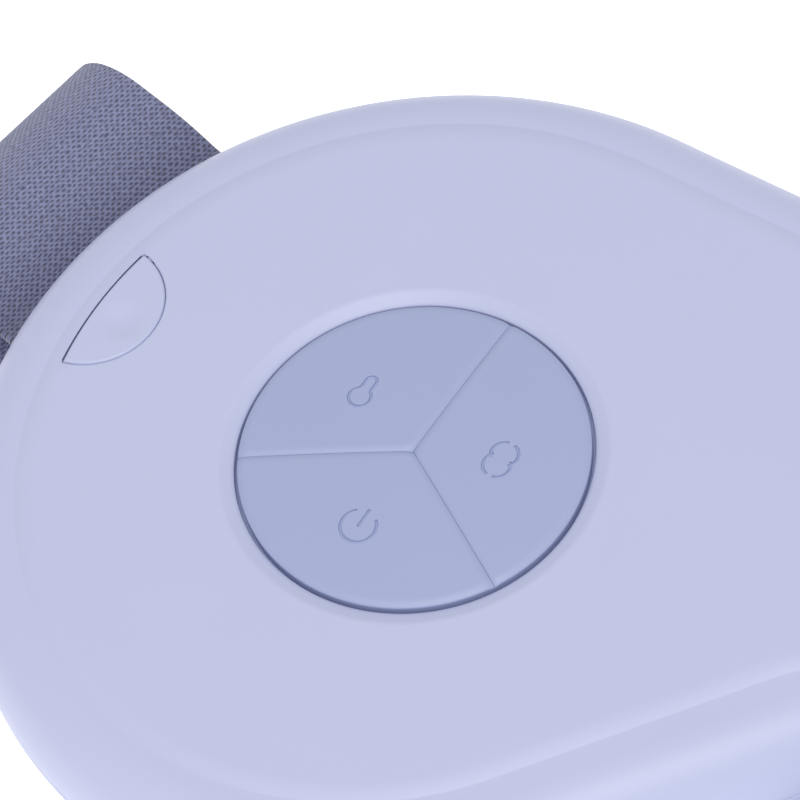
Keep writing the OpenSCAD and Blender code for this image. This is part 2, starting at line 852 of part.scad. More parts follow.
// Half disc pressed on the shaft
module weight() {
    color("#8d8f94")
        translate([motor_x - weight_l - 1, motor_y, motor_z])
            rotate([0, 90, 0])
                difference() {
                    union() {
                        intersection() {
                            cylinder(h = weight_l, r = weight_r);
                            translate([-10, -20, -1])
                                cube([10, 40, 20]);
                        }
                        cylinder(h = weight_l, r = shaft_r + 1);
                    }
                    translate([0, 0, -1])
                        cylinder(h = weight_l + 2, r = shaft_r);
                }
}
module left_weight() {
    at_left_lobe()
        weight();
}
module right_weight() {
    mirror([1, 0, 0])
        at_left_lobe()
            weight();
}

module motor_sleeves() {
    color(black_col)
        both_lobes()
            translate([saddle_x[0] - 1, motor_y, motor_z])
                rotate([0, 90, 0])
                    difference() {
                        cylinder(h = sleeve_l, r = motor_r + sleeve_t);
                        translate([0, 0, -1])
                            cylinder(h = through, r = motor_r);
                    }
}

face_inset = back_rim_w + 0.8;
film_inset = face_inset + 6;
module heating_face() {
    color("#b4b6d6")
        difference() {
            outline_plate(face_inset, face_z, shell_z);
            outline_plate(film_inset - 0.2, shell_z - film_t, shell_z + 1);
        }
}

module heating_film() {
    color("#c98a3a")
        outline_plate(film_inset, shell_z - film_t, shell_z);
}

foam_inset = back_rim_w + back_wall + 1;
thermistor_p = [-lobe_dx + 12, -8];
module insulation_foam() {
    color("#dfe1e6")
        difference() {
            outline_plate(foam_inset, floor_z, foam_z);
            at_shell_screws()
                cylinder(h = through, r = screw_boss_r + 0.9);
            at_board_screws()
                cylinder(h = through, r = board_boss_r + 0.3);
            at_left_lobe()
                translate([socket_screw_x - 3, port_y - socket_screw_y - 3, 0])
                    cube([6, 2 * socket_screw_y + 6, through]);
            both_lobes() {
                for (x = saddle_x)
                    translate([x - 0.3, motor_y - motor_r - sleeve_t - 1.3, 0])
                        cube([saddle_t + 0.6, 2 * (motor_r + sleeve_t + 1.3), through]);
                along_strap()
                    for (s = [-1, 1])
                        translate([bar_u - 2.5, s * (post_in + post_t / 2) - post_t / 2 - 0.3, 0])
                            cube([8, post_t + 0.6, through]);
            }
            for (s = [-1, 1], t = [-1, 1])
                translate([lobe_dx + s * (battery_l / 2 + seat_gap + rib_t / 2), battery_y, 0])
                    translate([-rib_t / 2 - 0.3, t * battery_w / 4 - 4.3, 0])
                        cube([rib_t + 0.6, 8.6, through]);
            translate([thermistor_p[0], thermistor_p[1], 0])
                cylinder(h = through, r = 1.8);
        }
}

module thermistor() {
    color(black_col)
        translate([thermistor_p[0], thermistor_p[1], floor_z])
            cylinder(h = 1.2, r = 1.5);
}

module strap_bars() {
    color(steel_col)
        both_lobes()
            along_strap()
                translate([bar_u, 0, bar_z])
                    rotate([90, 0, 0])
                        cylinder(h = 2 * bar_half, r = bar_r, center = true);
}

module left_strap() {
    color(strap_col)
        strap_body(0);
}

module right_strap() {
    color(strap_col)
        mirror([1, 0, 0])
            strap_body(lift_h);
}

// Patch of hook or loop tape along the overlap
module patch(z) {
    translate([0, run_y, z])
        rotate(270 - overlap_a)
            rotate_extrude(angle = 2 * overlap_a)
                translate([run_r - strap_w / 2 + 1.5, 0])
                    square([strap_w - 3, patch_t]);
}
module hook_patch() {
    color("#6a6c8c")
        patch(strap_t + patch_t);
}
module loop_patch() {
    color("#83869f")
        patch(strap_t);
}

front_cover();
back_cover();
shell_screws();
key_power();
key_heat();
key_massage();
keypad_membrane();
key_retainer();
retainer_screws();
power_plunger();
heat_plunger();
massage_plunger();
tact_switches();
main_board();
board_components();
indicator_leds();
board_screws();
port_cover();
charging_socket();
socket_contacts();
socket_board();
socket_board_screws();
battery();
battery_foam_tape();
left_motor();
right_motor();
left_motor_shaft();
right_motor_shaft();
left_weight();
right_weight();
motor_sleeves();
heating_face();
heating_film();
insulation_foam();
thermistor();
strap_bars();
left_strap();
right_strap();
hook_patch();
loop_patch();
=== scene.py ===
# Heating pad with two round lobes, three keys in a disc, a half-round port cover and an elastic belt.
# X runs along the belt, Y up the belly and Z out of the front; every length is in metres.
import json
import math

import bmesh
import bpy
import numpy as np
from mathutils import Matrix, Vector


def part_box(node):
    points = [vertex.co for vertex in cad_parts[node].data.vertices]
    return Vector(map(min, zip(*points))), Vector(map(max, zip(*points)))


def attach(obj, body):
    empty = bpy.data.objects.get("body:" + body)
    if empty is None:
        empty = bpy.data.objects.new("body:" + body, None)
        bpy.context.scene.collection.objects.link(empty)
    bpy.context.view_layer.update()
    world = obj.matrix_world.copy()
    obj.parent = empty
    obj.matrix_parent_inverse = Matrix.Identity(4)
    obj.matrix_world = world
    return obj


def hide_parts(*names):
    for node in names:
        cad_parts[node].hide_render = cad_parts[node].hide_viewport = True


bl_info = {
    "name": "Belt Heating Pad",
    "version": (1, 0, 0),
    "blender": (4, 5, 0),
    "location": "3D View > Sidebar > Heating Pad",
    "description": "Dresses a packed two-lobed heating pad: covers, keys, port cover, belt and soft face",
    "category": "Object",
}

MM = 0.001
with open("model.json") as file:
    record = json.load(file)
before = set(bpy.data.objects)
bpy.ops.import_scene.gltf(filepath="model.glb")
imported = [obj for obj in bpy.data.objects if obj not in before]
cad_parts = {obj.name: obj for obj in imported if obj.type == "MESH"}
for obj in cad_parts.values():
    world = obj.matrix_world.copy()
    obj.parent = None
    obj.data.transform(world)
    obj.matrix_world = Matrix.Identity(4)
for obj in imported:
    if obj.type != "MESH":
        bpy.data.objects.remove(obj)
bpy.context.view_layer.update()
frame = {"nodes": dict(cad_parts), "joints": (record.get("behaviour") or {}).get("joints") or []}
BAR_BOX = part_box("strap_bars")
PAD = "pad"

# What the frame gives: the plateau's height, the shell's and the soft face's undersides, the hinge's place
TOP_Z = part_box("front_cover")[1].z
SHELL_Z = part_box("back_cover")[0].z
FACE_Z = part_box("heating_face")[0].z
HINGE_X = next(j for j in frame["joints"] if j["name"] == "port_cover_hinge")["pos_m"][0]


# Sizes and colours that a user would change
def size(name, description, default_mm):
    """Length property with its default in millimetres"""
    return bpy.props.FloatProperty(name=name, description=description, default=default_mm * MM,
                                   min=0, unit="LENGTH", subtype="DISTANCE", precision=5)


def turn(name, description, default_deg):
    """Angle property with its default in degrees"""
    return bpy.props.FloatProperty(name=name, description=description, default=math.radians(default_deg),
                                   unit="ROTATION", subtype="ANGLE")


def linear(code):
    """Linear colour of an sRGB hex code"""
    parts = [int(code[i:i + 2], 16) / 255 for i in (1, 3, 5)]
    return tuple(p / 12.92 if p <= 0.04045 else ((p + 0.055) / 1.055) ** 2.4 for p in parts) + (1.0,)


def colour(name, description, code):
    """Colour property with an sRGB hex default"""
    return bpy.props.FloatVectorProperty(name=name, description=description, default=linear(code),
                                         size=4, min=0, max=1, subtype="COLOR")


class HousingSizes(bpy.types.PropertyGroup):
    lobe_r: size("Lobe radius", "Radius of each lobe at its widest line", 58.4)
    lobe_dx: size("Lobe distance", "Distance from the middle to the centre of each lobe", 66.7)
    disc_out: size("Disc offset", "How much further out than its lobe's centre the disc of keys is", 1.3)
    top_dip: size("Top dip", "Dip of the top edge between the lobes", 0.5)
    shoulder_in: size("Shoulder", "How much smaller than its lobe's the shoulder's radius is", 6.5)
    flank_in: size("Flank inset", "How much nearer than the widest line the notch's side is", 3.0)
    flank_angle: turn("Flank angle", "Rise of the notch's straight sides", 52)
    notch_r: size("Notch radius", "Radius at the head of the notch", 6)
    rim_w: size("Rim width", "Width of the rounded rim of the front", 8.2)
    rim_drop: size("Rim height", "Height of that rim above the seam", 9.5)
    rim_full: bpy.props.FloatProperty(name="Rim fullness", default=2.3, min=1.5, max=4,
                                      description="Exponent of the rim's section, 2 for an ellipse")
    crease_in: size("Crease inset", "Flat ledge between the rim and the crease", 0.15)
    crease_flank_in: size("Crease flank", "Inset of the crease's notch side from its arc", 5.2)
    crease_notch_r: size("Crease notch", "Radius at the head of the crease's notch", 17.7)
    crease_w: size("Crease width", "Width of the small step between the rim and the plateau", 2.6)
    crease_h: size("Crease height", "Height of that step", 0.5)
    back_rim_w: size("Back rim width", "Width of the rounded rim of the back", 9)
    front_wall: size("Front wall", "Thickness of the front cover", 2)
    back_wall: size("Back wall", "Thickness of the back cover's side", 2)
    floor_t: size("Floor", "Thickness of the back cover's floor", 1.6)
    seam_round: size("Seam rounding", "Rounding of both covers' edges along the seam", 0.3)
    dish_w: size("Dish width", "Width of the dished ring round the keys", 1.9)
    dish_h: size("Dish depth", "Depth of the dished ring at the opening", 0.85)


class KeySizes(bpy.types.PropertyGroup):
    disc_r: size("Opening radius", "Radius of the round opening that holds the keys", 22)
    gap: size("Gap", "Gap between the keys and the opening", 0.42)
    divider: size("Divider gap", "Gap between two keys", 0.02)
    crown: size("Crown", "Rise of the disc's crown above its edge", 0.75)
    edge_drop: size("Edge drop", "Depth of the disc's edge below the plateau", 0.15)
    edge_round: size("Edge rounding", "Rounding of the disc's outer edge", 0.13)
    roll_w: size("Roll-off width", "Width of the soft roll-off inside the disc's edge", 1.1)
    roll_h: size("Roll-off depth", "Depth of that roll-off at the edge", 0.3)
    side_round: size("Side rounding", "Rounding of the keys' edges along the dividers", 0.04)
    side_w: size("Side roll-off width", "Width of the soft roll-off beside each divider", 0.95)
    side_h: size("Side roll-off depth", "Depth of that roll-off at the divider", 0.28)
    stroke_r: size("Stroke radius", "Half the width of the engraved icons' strokes", 0.16)
    stroke_d: size("Stroke depth", "Depth of the engraved icons", 0.36)
    stroke_lip: size("Stroke lip", "Rounding of the engraved strokes' edges", 0.13)


class BeltSizes(bpy.types.PropertyGroup):
    width: size("Belt width", "Width of the elastic webbing", 38)
    thickness: size("Belt thickness", "Thickness of the webbing", 1.6)
    angle: turn("Belt angle", "Angle of each strap above the X axis at the housing", 12)
    rise: turn("Belt rise", "Upward slope of the webbing where it leaves the housing", 15)
    bend_r: size("Bend radius", "Radius of the webbing's main bend", 15)
    cord_pitch: size("Cord pitch", "Spacing of the elastic cords across the webbing", 1.02)
    pick_pitch: size("Pick pitch", "Spacing of the weft picks along the webbing", 0.56)
    patch_t: size("Patch thickness", "Thickness of each hook and loop patch", 0.4)
    overlap: size("Overlap", "Length of the closed overlap in the middle", 60)
    skew: bpy.props.FloatProperty(name="Skew", description="How much the fold leans across the belt's width",
                                  default=0.055, min=0, max=0.3)


class PadColours(bpy.types.PropertyGroup):
    housing: colour("Housing", "Soft-touch housing", "#BEC3E1")
    keys: colour("Keys", "Keys, a shade deeper", "#A4ADD0")
    belt: colour("Belt", "Yarn of the webbing", "#8B90B3")
    # Painted shade in the gaps between the yarns
    belt_gap_shade: colour("Belt shade", "Gaps between the yarns", "#40425E")
    face: colour("Heating face", "Short-pile fabric of the heating face", "#B4B6D6")
    floor: colour("Floor", "Plain studio floor", "#FFFFFF")


# Plan of the housing
# Heading on the left lobe from which the loop's points lie at even steps, up to the head of the notch
EVEN_FROM = 1.2 * math.pi


def arc(centre, radius, start, end, count):
    """Points of an arc, one more than its steps"""
    a = np.linspace(start, end, count + 1)
    return np.stack([centre[0] + radius * np.cos(a), centre[1] + radius * np.sin(a)], axis=1)


def even_steps(line, count):
    """The same line with its points at equal shares of its length"""
    run = np.concatenate([[0], np.cumsum(np.linalg.norm(np.diff(line, axis=0), axis=1))])
    wanted = np.linspace(0, run[-1], count + 1)
    return np.stack([np.interp(wanted, run, line[:, 0]), np.interp(wanted, run, line[:, 1])], axis=1)


def lobed_loop(s, radius, flank_in, head_r):
    """Closed two-lobed loop, anticlockwise from the middle of its top edge"""
    dip_s = (s.lobe_dx ** 2 + s.top_dip ** 2) / (2 * s.top_dip)
    lobe_a = math.atan2(dip_s - s.top_dip, s.lobe_dx)
    lobe_c = (-s.lobe_dx, 0)
    flank_n = s.flank_angle - math.pi / 2
    shoulder_a = flank_n - math.acos((s.shoulder_in - flank_in) / s.shoulder_in)
    shoulder_c = (-s.lobe_dx + s.shoulder_in * math.cos(shoulder_a), s.shoulder_in * math.sin(shoulder_a))
    head_y = (radius - flank_in + head_r - s.lobe_dx * math.cos(flank_n)) / math.sin(flank_n)
    top = arc((0, dip_s - s.top_dip), dip_s - radius, 1.5 * math.pi, math.pi + lobe_a, count=20)
    lobe = arc(lobe_c, radius, lobe_a, EVEN_FROM, count=96)
    low = arc(lobe_c, radius, EVEN_FROM, 2 * math.pi + shoulder_a, count=160)
    shoulder = arc(shoulder_c, radius - s.shoulder_in, shoulder_a, flank_n, count=120)
    head = arc((0, head_y), head_r, math.pi + flank_n, math.pi / 2, count=80)
    notch_side = even_steps(np.concatenate([low, shoulder[1:], head]), count=96)
    half = np.concatenate([top, lobe[1:], notch_side[1:]])
    mirrored = half[-2:0:-1] * [-1, 1]
    return np.concatenate([half, mirrored])


def outline(s, inset):
    """Loop at an inset from the housing's widest line"""
    return lobed_loop(s, s.lobe_r - inset, s.flank_in, s.notch_r + inset)


def crease(s, inset):
    """Loop at an inset from the crease, whose notch reaches further in than the widest line's"""
    radius = s.lobe_r - s.rim_w - s.crease_in - inset
    return lobed_loop(s, radius, s.crease_flank_in, s.crease_notch_r + inset)


def at_height(loop, z):
    """The loop's points at one height"""
    return np.column_stack([loop, np.full(len(loop), z)])


# Heights of the housing
def seam_z(s):
    return TOP_Z - s.rim_drop


def ceiling_z(s):
    return TOP_Z - s.front_wall


def floor_z(s):
    return SHELL_Z + s.floor_t


# Mesh helpers
def link_object(name, points, edges, faces):
    """Object of a new mesh in the scene"""
    mesh = bpy.data.meshes.new(name)
    mesh.from_pydata([tuple(p) for p in points], edges, [tuple(f) for f in faces])
    mesh.update()
    obj = bpy.data.objects.new(name, mesh)
    bpy.context.scene.collection.objects.link(obj)
    return obj


def loft(name, rings, closed=False):
    """Solid through rings of equally many points, from the bottom to the top or round a closed line"""
    n, m = len(rings[0]), len(rings)
    faces = []
    for k in range(m if closed else m - 1):
        low, high = k * n, (k + 1) % m * n
        for i in range(n):
            j = (i + 1) % n
            faces.append((low + i, low + j, high + j, high + i))
    if not closed:
        faces += [range(n - 1, -1, -1), range((m - 1) * n, m * n)]
    return link_object(name, np.concatenate(rings), [], faces)


def turned(name, profile, centre, steps=128):
    """Solid turned about a vertical axis from a closed half section of (radius, z), bottom first"""
    return loft(name, [at_height(arc(centre, radius, 0, 2 * math.pi, steps)[:-1], z)
                       for radius, z in profile])


def rod(name, start, end, radius, steps=32):
    """Round bar between two points"""
    start, end = Vector(start), Vector(end)
    axis = (end - start).normalized()
    side = axis.orthogonal().normalized()
    other = axis.cross(side)
    turns = [2 * math.pi * i / steps for i in range(steps)]
    spokes = [radius * (math.cos(a) * side + math.sin(a) * other) for a in turns]
    return loft(name, [np.array([centre + spoke for spoke in spokes]) for centre in (start, end)])


def pillar(name, spot, low, high, radius, steps=32):
    """Upright round bar between two heights"""
    return rod(name, (*spot, low), (*spot, high), radius, steps)


def block(name, low, high, turn_by=0.0, about=(0, 0)):
    """Box between two corners, turned about a vertical line"""
    c, s = math.cos(turn_by), math.sin(turn_by)
    corners = [(low[0], low[1]), (high[0], low[1]), (high[0], high[1]), (low[0], high[1])]
    loop = np.array([(about[0] + c * x - s * y, about[1] + s * x + c * y) for x, y in corners])
    return loft(name, [at_height(loop, low[2]), at_height(loop, high[2])])


def bake(obj):
    """Turns what the modifiers make into the object's own mesh"""
    depsgraph = bpy.context.evaluated_depsgraph_get()
    made = bpy.data.meshes.new_from_object(obj.evaluated_get(depsgraph), depsgraph=depsgraph)
    obj.modifiers.clear()
    obj.data = made
    return obj


def combine(body, tools, operation):
    """Joins the tools to the body or cuts them from it, and removes them"""
    for tool in tools:
        modifier = body.modifiers.new(tool.name, "BOOLEAN")
        modifier.operation = operation
        modifier.solver = "MANIFOLD"
        modifier.object = tool
        bake(body)
        if len(body.data.polygons) == 0:
            raise RuntimeError(f"{body.name} is lost where {tool.name} meets it")
        bpy.data.objects.remove(tool)
    return body


def soften(obj, sharp_deg=34):
    """Smooth shading that keeps flat faces flat and edges sharper than an angle sharp"""
    obj.data.shade_smooth()
    obj.data.set_sharp_from_angle(angle=math.radians(sharp_deg))
    modifier = obj.modifiers.new("flat faces first", "WEIGHTED_NORMAL")
    modifier.keep_sharp = True
    return bake(obj)


def finish_piece(obj, name, body, material, slot, *nodes):
    """Names a piece, gives it its material and body and hides the nodes it stands for; slot is not used"""
    obj.name = name
    obj.data.materials.clear()
    obj.data.materials.append(material)
    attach(obj, body)
    if nodes:
        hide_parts(*nodes)


# Materials
# Places of a colour Mix node's sockets: its two colours and its result
MIX_A, MIX_B, MIX_OUT = 6, 7, 2


def add(tree, kind, settings=None, to=None, out=0, **links):
    """Adds a node with its settings and links, and joins its output to a socket if one is given. A number
    in the settings, or i0 for a link, is a socket's place; _ in a link's name is a space in the socket's"""
    made = tree.nodes.new(kind)
    for name, value in (settings or {}).items():
        if isinstance(name, int) or name in made.inputs:
            made.inputs[name].default_value = value
        else:
            setattr(made, name, value)
    for name, source in links.items():
        place = int(name[1:]) if name[0] == "i" and name[1:].isdigit() else name.replace("_", " ")
        tree.links.new(source, made.inputs[place])
    if to is not None:
        tree.links.new(made.outputs[out], to)
    return made


def surface(name, base, roughness, **more):
    """Material with a Principled shader; more holds its other sockets' values"""
    material = bpy.data.materials.new(name)
    material.use_nodes = True
    shader = material.node_tree.nodes["Principled BSDF"]
    shader.inputs["Base Color"].default_value = base
    shader.inputs["Roughness"].default_value = roughness
    for key, value in more.items():
        shader.inputs[key.replace("_", " ")].default_value = value
    return material, material.node_tree, shader


def toned(base, share):
    """The same colour lighter or darker by a share"""
    return tuple(min(1, c * share) for c in base[:3]) + (1,)


def grain(tree, shader, place, size_mm, height_mm, strength):
    """Fine relief of a noise whose grains have a real size"""
    pattern = add(tree, "ShaderNodeTexNoise", {"Scale": 1 / (size_mm * MM), "Detail": 2.0}, Vector=place)
    add(tree, "ShaderNodeBump", {"Strength": strength, "Distance": height_mm * MM},
        Height=pattern.outputs[0], to=shader.inputs["Normal"])


def mottled(tree, shader, place, base, size_mm, spread):
    """Slow change of the base colour over patches of a real size"""
    pattern = add(tree, "ShaderNodeTexNoise", {"Scale": 1 / (size_mm * MM), "Detail": 3.0}, Vector=place)
    two_tones = {"data_type": "RGBA", MIX_A: toned(base, 1 - spread), MIX_B: toned(base, 1 + spread)}
    add(tree, "ShaderNodeMix", two_tones, i0=pattern.outputs[0], to=shader.inputs["Base Color"], out=MIX_OUT)


def soft_touch_abs(name, base):
    """Moulded ABS with a soft-touch coat: matt, with a very fine grain and a faint soft sheen. The coat's
    real grain is finer than the render shows, so it is drawn at 0.22 mm"""
    material, tree, shader = surface(name, base, roughness=0.42, IOR=1.5, Specular_IOR_Level=0.36)
    place = add(tree, "ShaderNodeTexCoord").outputs["Object"]
    mottled(tree, shader, place, base, size_mm=18, spread=0.012)
    grain(tree, shader, place, size_mm=0.22, height_mm=0.008, strength=0.35)
    return material


def moulded(name, code, roughness, grain_mm=0.3, **more):
    """Moulded plastic or rubber: half matt, with the fine grain that the mould leaves"""
    base = linear(code)
    material, tree, shader = surface(name, base, roughness, **more)
    place = add(tree, "ShaderNodeTexCoord").outputs["Object"]
    mottled(tree, shader, place, base, size_mm=6, spread=0.03)
    grain(tree, shader, place, size_mm=grain_mm, height_mm=0.01, strength=0.4)
    return material


def brushed(name, code, roughness, line_mm=0.12):
    """Drawn or brushed metal: fine lines along X, with a little change in gloss"""
    material, tree, shader = surface(name, linear(code), roughness, Metallic=1.0)
    place = add(tree, "ShaderNodeTexCoord").outputs["Object"]
    along = add(tree, "ShaderNodeMapping", {"Scale": (0.04, 1, 1)}, Vector=place)
    lines = add(tree, "ShaderNodeTexNoise", {"Scale": 1 / (line_mm * MM), "Detail": 3.0},
                Vector=along.outputs["Vector"])
    add(tree, "ShaderNodeMapRange", {"To Min": roughness - 0.08, "To Max": roughness + 0.1},
        Value=lines.outputs[0], to=shader.inputs["Roughness"])
    add(tree, "ShaderNodeBump", {"Strength": 0.25, "Distance": 0.01 * MM}, Height=lines.outputs[0],
        to=shader.inputs["Normal"])
    return material


def woven_elastic(name, yarn, shade, cord, pick):
    """Woven polyester elastic: rows of small dimples between the yarns, set half a step apart, and painted
    shade that darkens the webbing where it leaves the housing"""
    material, tree, shader = surface(name, yarn, roughness=0.86, Sheen_Weight=0.25, Sheen_Roughness=0.5,
                                     Specular_IOR_Level=0.2)
    cloth = add(tree, "ShaderNodeUVMap", {"uv_map": "cloth"}).outputs["UV"]
    # The yarns waver by about half a millimetre, so that the rows aren't ruled lines
    waver = add(tree, "ShaderNodeTexNoise", {"Scale": 0.9 / MM, "Detail": 2.0}, Vector=cloth)
    shifted = add(tree, "ShaderNodeVectorMath", {"operation": "MULTIPLY_ADD", 1: (0.6 * MM, 0.5 * MM, 0)},
                  i0=waver.outputs["Color"], i2=cloth)
    parts = add(tree, "ShaderNodeSeparateXYZ", Vector=shifted.outputs["Vector"])
    across = add(tree, "ShaderNodeMath", {"operation": "DIVIDE", 1: cord}, i0=parts.outputs["X"])
    along = add(tree, "ShaderNodeMath", {"operation": "DIVIDE", 1: pick}, i0=parts.outputs["Y"])
    row = add(tree, "ShaderNodeMath", {"operation": "FLOOR"}, i0=along.outputs[0])
    moved = add(tree, "ShaderNodeMath", {"operation": "MULTIPLY_ADD", 1: 0.5}, i0=row.outputs[0],
                i2=across.outputs[0])
    # Distance from the middle of each cell of the weave, from 0 to half a step
    waves = []
    for source in (moved, along):
        part = add(tree, "ShaderNodeMath", {"operation": "FRACT"}, i0=source.outputs[0])
        centred = add(tree, "ShaderNodeMath", {"operation": "SUBTRACT", 1: 0.5}, i0=part.outputs[0])
        waves.append(add(tree, "ShaderNodeMath", {"operation": "ABSOLUTE"}, i0=centred.outputs[0]))
    joined = add(tree, "ShaderNodeCombineXYZ", X=waves[0].outputs[0], Y=waves[1].outputs[0])
    reach = add(tree, "ShaderNodeVectorMath", {"operation": "LENGTH"}, i0=joined.outputs[0])
    dimple = add(tree, "ShaderNodeMapRange", {"interpolation_type": "SMOOTHSTEP", "From Min": 0.08,
                                              "From Max": 0.47}, Value=reach.outputs["Value"])
    # Fibres of the yarn, and dimples of uneven depth; the real fibres are finer than the render shows
    fibre = add(tree, "ShaderNodeTexNoise", {"Scale": 1 / (0.14 * MM), "Detail": 2.0}, Vector=cloth)
    uneven = add(tree, "ShaderNodeTexNoise", {"Scale": 1 / (0.7 * MM), "Detail": 3.0}, Vector=cloth)
    lifted = add(tree, "ShaderNodeMath", {"operation": "MULTIPLY_ADD", 1: 0.35}, i0=fibre.outputs[0],
                 i2=dimple.outputs[0])
    deep = add(tree, "ShaderNodeMath", {"operation": "MULTIPLY"}, i0=dimple.outputs[0], i1=uneven.outputs[0])
    level = add(tree, "ShaderNodeMapRange", {"From Min": -0.1, "From Max": 0.56}, Value=deep.outputs[0])
    # The dimples take the shade colour: painted shade in the gaps of the weave
    mixed = add(tree, "ShaderNodeMix", {"data_type": "RGBA", MIX_A: shade, MIX_B: yarn},
                i0=level.outputs["Result"])
    # Painted shade beside the housing, darker nearer to it, by the length along the webbing
    length = add(tree, "ShaderNodeSeparateXYZ", Vector=cloth).outputs["Y"]
    painted_shade = add(tree, "ShaderNodeMapRange", {"interpolation_type": "SMOOTHSTEP", "From Min": 20 * MM,
                                             "From Max": 38 * MM, "To Min": 0.58}, Value=length)
    add(tree, "ShaderNodeVectorMath", {"operation": "SCALE"}, i0=mixed.outputs[MIX_OUT],
        Scale=painted_shade.outputs["Result"], to=shader.inputs["Base Color"])
    add(tree, "ShaderNodeBump", {"Strength": 0.8, "Distance": 0.25 * MM}, Height=lifted.outputs[0],
        to=shader.inputs["Normal"])
    return material


def pile_fabric(name, base, pile_mm):
    """Short-pile fabric: soft sheen and a small random nap"""
    material, tree, shader = surface(name, base, roughness=0.9, Sheen_Weight=0.5, Sheen_Roughness=0.4,
                                     Specular_IOR_Level=0.15)
    place = add(tree, "ShaderNodeTexCoord").outputs["Object"]
    nap = add(tree, "ShaderNodeTexNoise", {"Scale": 1 / (pile_mm * MM), "Detail": 4.0}, Vector=place)
    add(tree, "ShaderNodeMix", {"data_type": "RGBA", MIX_A: toned(base, 0.86), MIX_B: base},
        i0=nap.outputs[0], to=shader.inputs["Base Color"], out=MIX_OUT)
    add(tree, "ShaderNodeBump", {"Strength": 0.7, "Distance": 0.2 * MM}, Height=nap.outputs[0],
        to=shader.inputs["Normal"])
    return material


def solder_mask(name, code):
    """Circuit board: a glossy lacquer over faint lighter tracks laid in a square maze"""
    base = linear(code)
    material, tree, shader = surface(name, base, roughness=0.28, Specular_IOR_Level=0.5)
    place = add(tree, "ShaderNodeTexCoord").outputs["Object"]
    cells = add(tree, "ShaderNodeTexVoronoi", {"distance": "CHEBYCHEV", "Scale": 1 / (2.4 * MM)},
                Vector=place)
    lines = add(tree, "ShaderNodeMapRange", {"From Min": 0.36, "From Max": 0.4},
                Value=cells.outputs["Distance"])
    add(tree, "ShaderNodeMix", {"data_type": "RGBA", MIX_A: base, MIX_B: toned(base, 1.7)},
        i0=lines.outputs["Result"], to=shader.inputs["Base Color"], out=MIX_OUT)
    return material


def crinkled_foil(name, code):
    """Aluminium-laminated pouch: half-gloss metal with soft broad crinkles"""
    material, tree, shader = surface(name, linear(code), roughness=0.34, Metallic=0.85)
    place = add(tree, "ShaderNodeTexCoord").outputs["Object"]
    folds = add(tree, "ShaderNodeTexNoise", {"Scale": 1 / (7 * MM), "Detail": 3.0}, Vector=place)
    add(tree, "ShaderNodeBump", {"Strength": 0.4, "Distance": 0.3 * MM}, Height=folds.outputs[0],
        to=shader.inputs["Normal"])
    return material


def etched_film(name, code, copper_code):
    """Polyimide heating film: clear amber over a copper track that snakes in 3 mm rows"""
    base = linear(code)
    material, tree, shader = surface(name, base, roughness=0.3, Coat_Weight=0.4)
    place = add(tree, "ShaderNodeTexCoord").outputs["Object"]
    rows = add(tree, "ShaderNodeTexWave", {"bands_direction": "Y", "Scale": 0.314 / (3 * MM)}, Vector=place)
    tracks = add(tree, "ShaderNodeMapRange", {"From Min": 0.45, "From Max": 0.55}, Value=rows.outputs[1])
    add(tree, "ShaderNodeMix", {"data_type": "RGBA", MIX_A: base, MIX_B: linear(copper_code)},
        i0=tracks.outputs["Result"], to=shader.inputs["Base Color"], out=MIX_OUT)
    return material


def cell_foam(name, code):
    """Cross-linked PE foam: dull, with fine closed cells"""
    base = linear(code)
    material, tree, shader = surface(name, base, roughness=0.9, Specular_IOR_Level=0.2)
    place = add(tree, "ShaderNodeTexCoord").outputs["Object"]
    cells = add(tree, "ShaderNodeTexVoronoi", {"Scale": 1 / (0.6 * MM)}, Vector=place)
    mottled(tree, shader, place, base, size_mm=0.8, spread=0.06)
    add(tree, "ShaderNodeBump", {"Strength": 0.5, "Distance": 0.1 * MM}, Height=cells.outputs["Distance"],
        to=shader.inputs["Normal"])
    return material


# Front and back covers
# How far a joined form reaches into what carries it
BITE = 0.5 * MM
# Lip inside the seam with its foot and its step below the seam, and the gaps of a seat and of a sliding fit
LIP_H = 1.5 * MM
LIP_T = 1.0 * MM
LIP_BITE = 0.6 * MM
LIP_FOOT = 2 * MM
LIP_STEP = (0.4 * MM, 0.3 * MM)
SEAT_GAP = 0.3 * MM
SLIP_GAP = 0.15 * MM
# Turn of the cavity's rim where its flat ceiling starts
CAVITY_TURN = math.radians(78)
# Front's rim: its start over the seam in shares of the seam's rounding, the turn where its even rings end,
# and the closer rings at its top; then the exponent of the crease's section and its last ring's inset
RIM_START = 1.6
RIM_EVEN_END = math.radians(72)
RIM_TOP_TURNS = np.radians([76, 80, 84, 88, 90])
CREASE_POWER = 1.8
PLATEAU_LEDGE = 0.5 * MM
# Shell screws: distance in mm and heading in degrees of each from a point in its lobe, and the bosses and
# bores that they pass, with heights over the shell's underside
SCREW_LOBE_DX = 68 * MM
SCREW_PLACES = [(41, 115), (41, 215), (38, 322)]
FRONT_BOSS_R = 3.2 * MM
FRONT_BOSS_UP = 6.6 * MM
BACK_BOSS_R = 3.8 * MM
BACK_BOSS_H = 5 * MM
PILOT_R = 1.05 * MM
PILOT_UP = (5 * MM, 13.6 * MM)
HEAD_R = 2.6 * MM
HEAD_UP = 1.7 * MM
SHANK_R = 1.3 * MM
SHANK_UP = 12 * MM
# Opening of the keys with the dished ring round it, in shares of its width and depth (its slope and the
# curve onto the plateau) and with a small round at its foot
OPENING_DEPTH = 9 * MM
DISH_SLOPE = (0.06, 0.3, 0.55, 0.8)
DISH_CURVE = np.array([(0.8, 0.2), (1.0, 0.0), (1.22, -0.012)])
DISH_FOOT_DEPTH = 0.15 * MM
DISH_FOOT_ROUND = 0.04 * MM
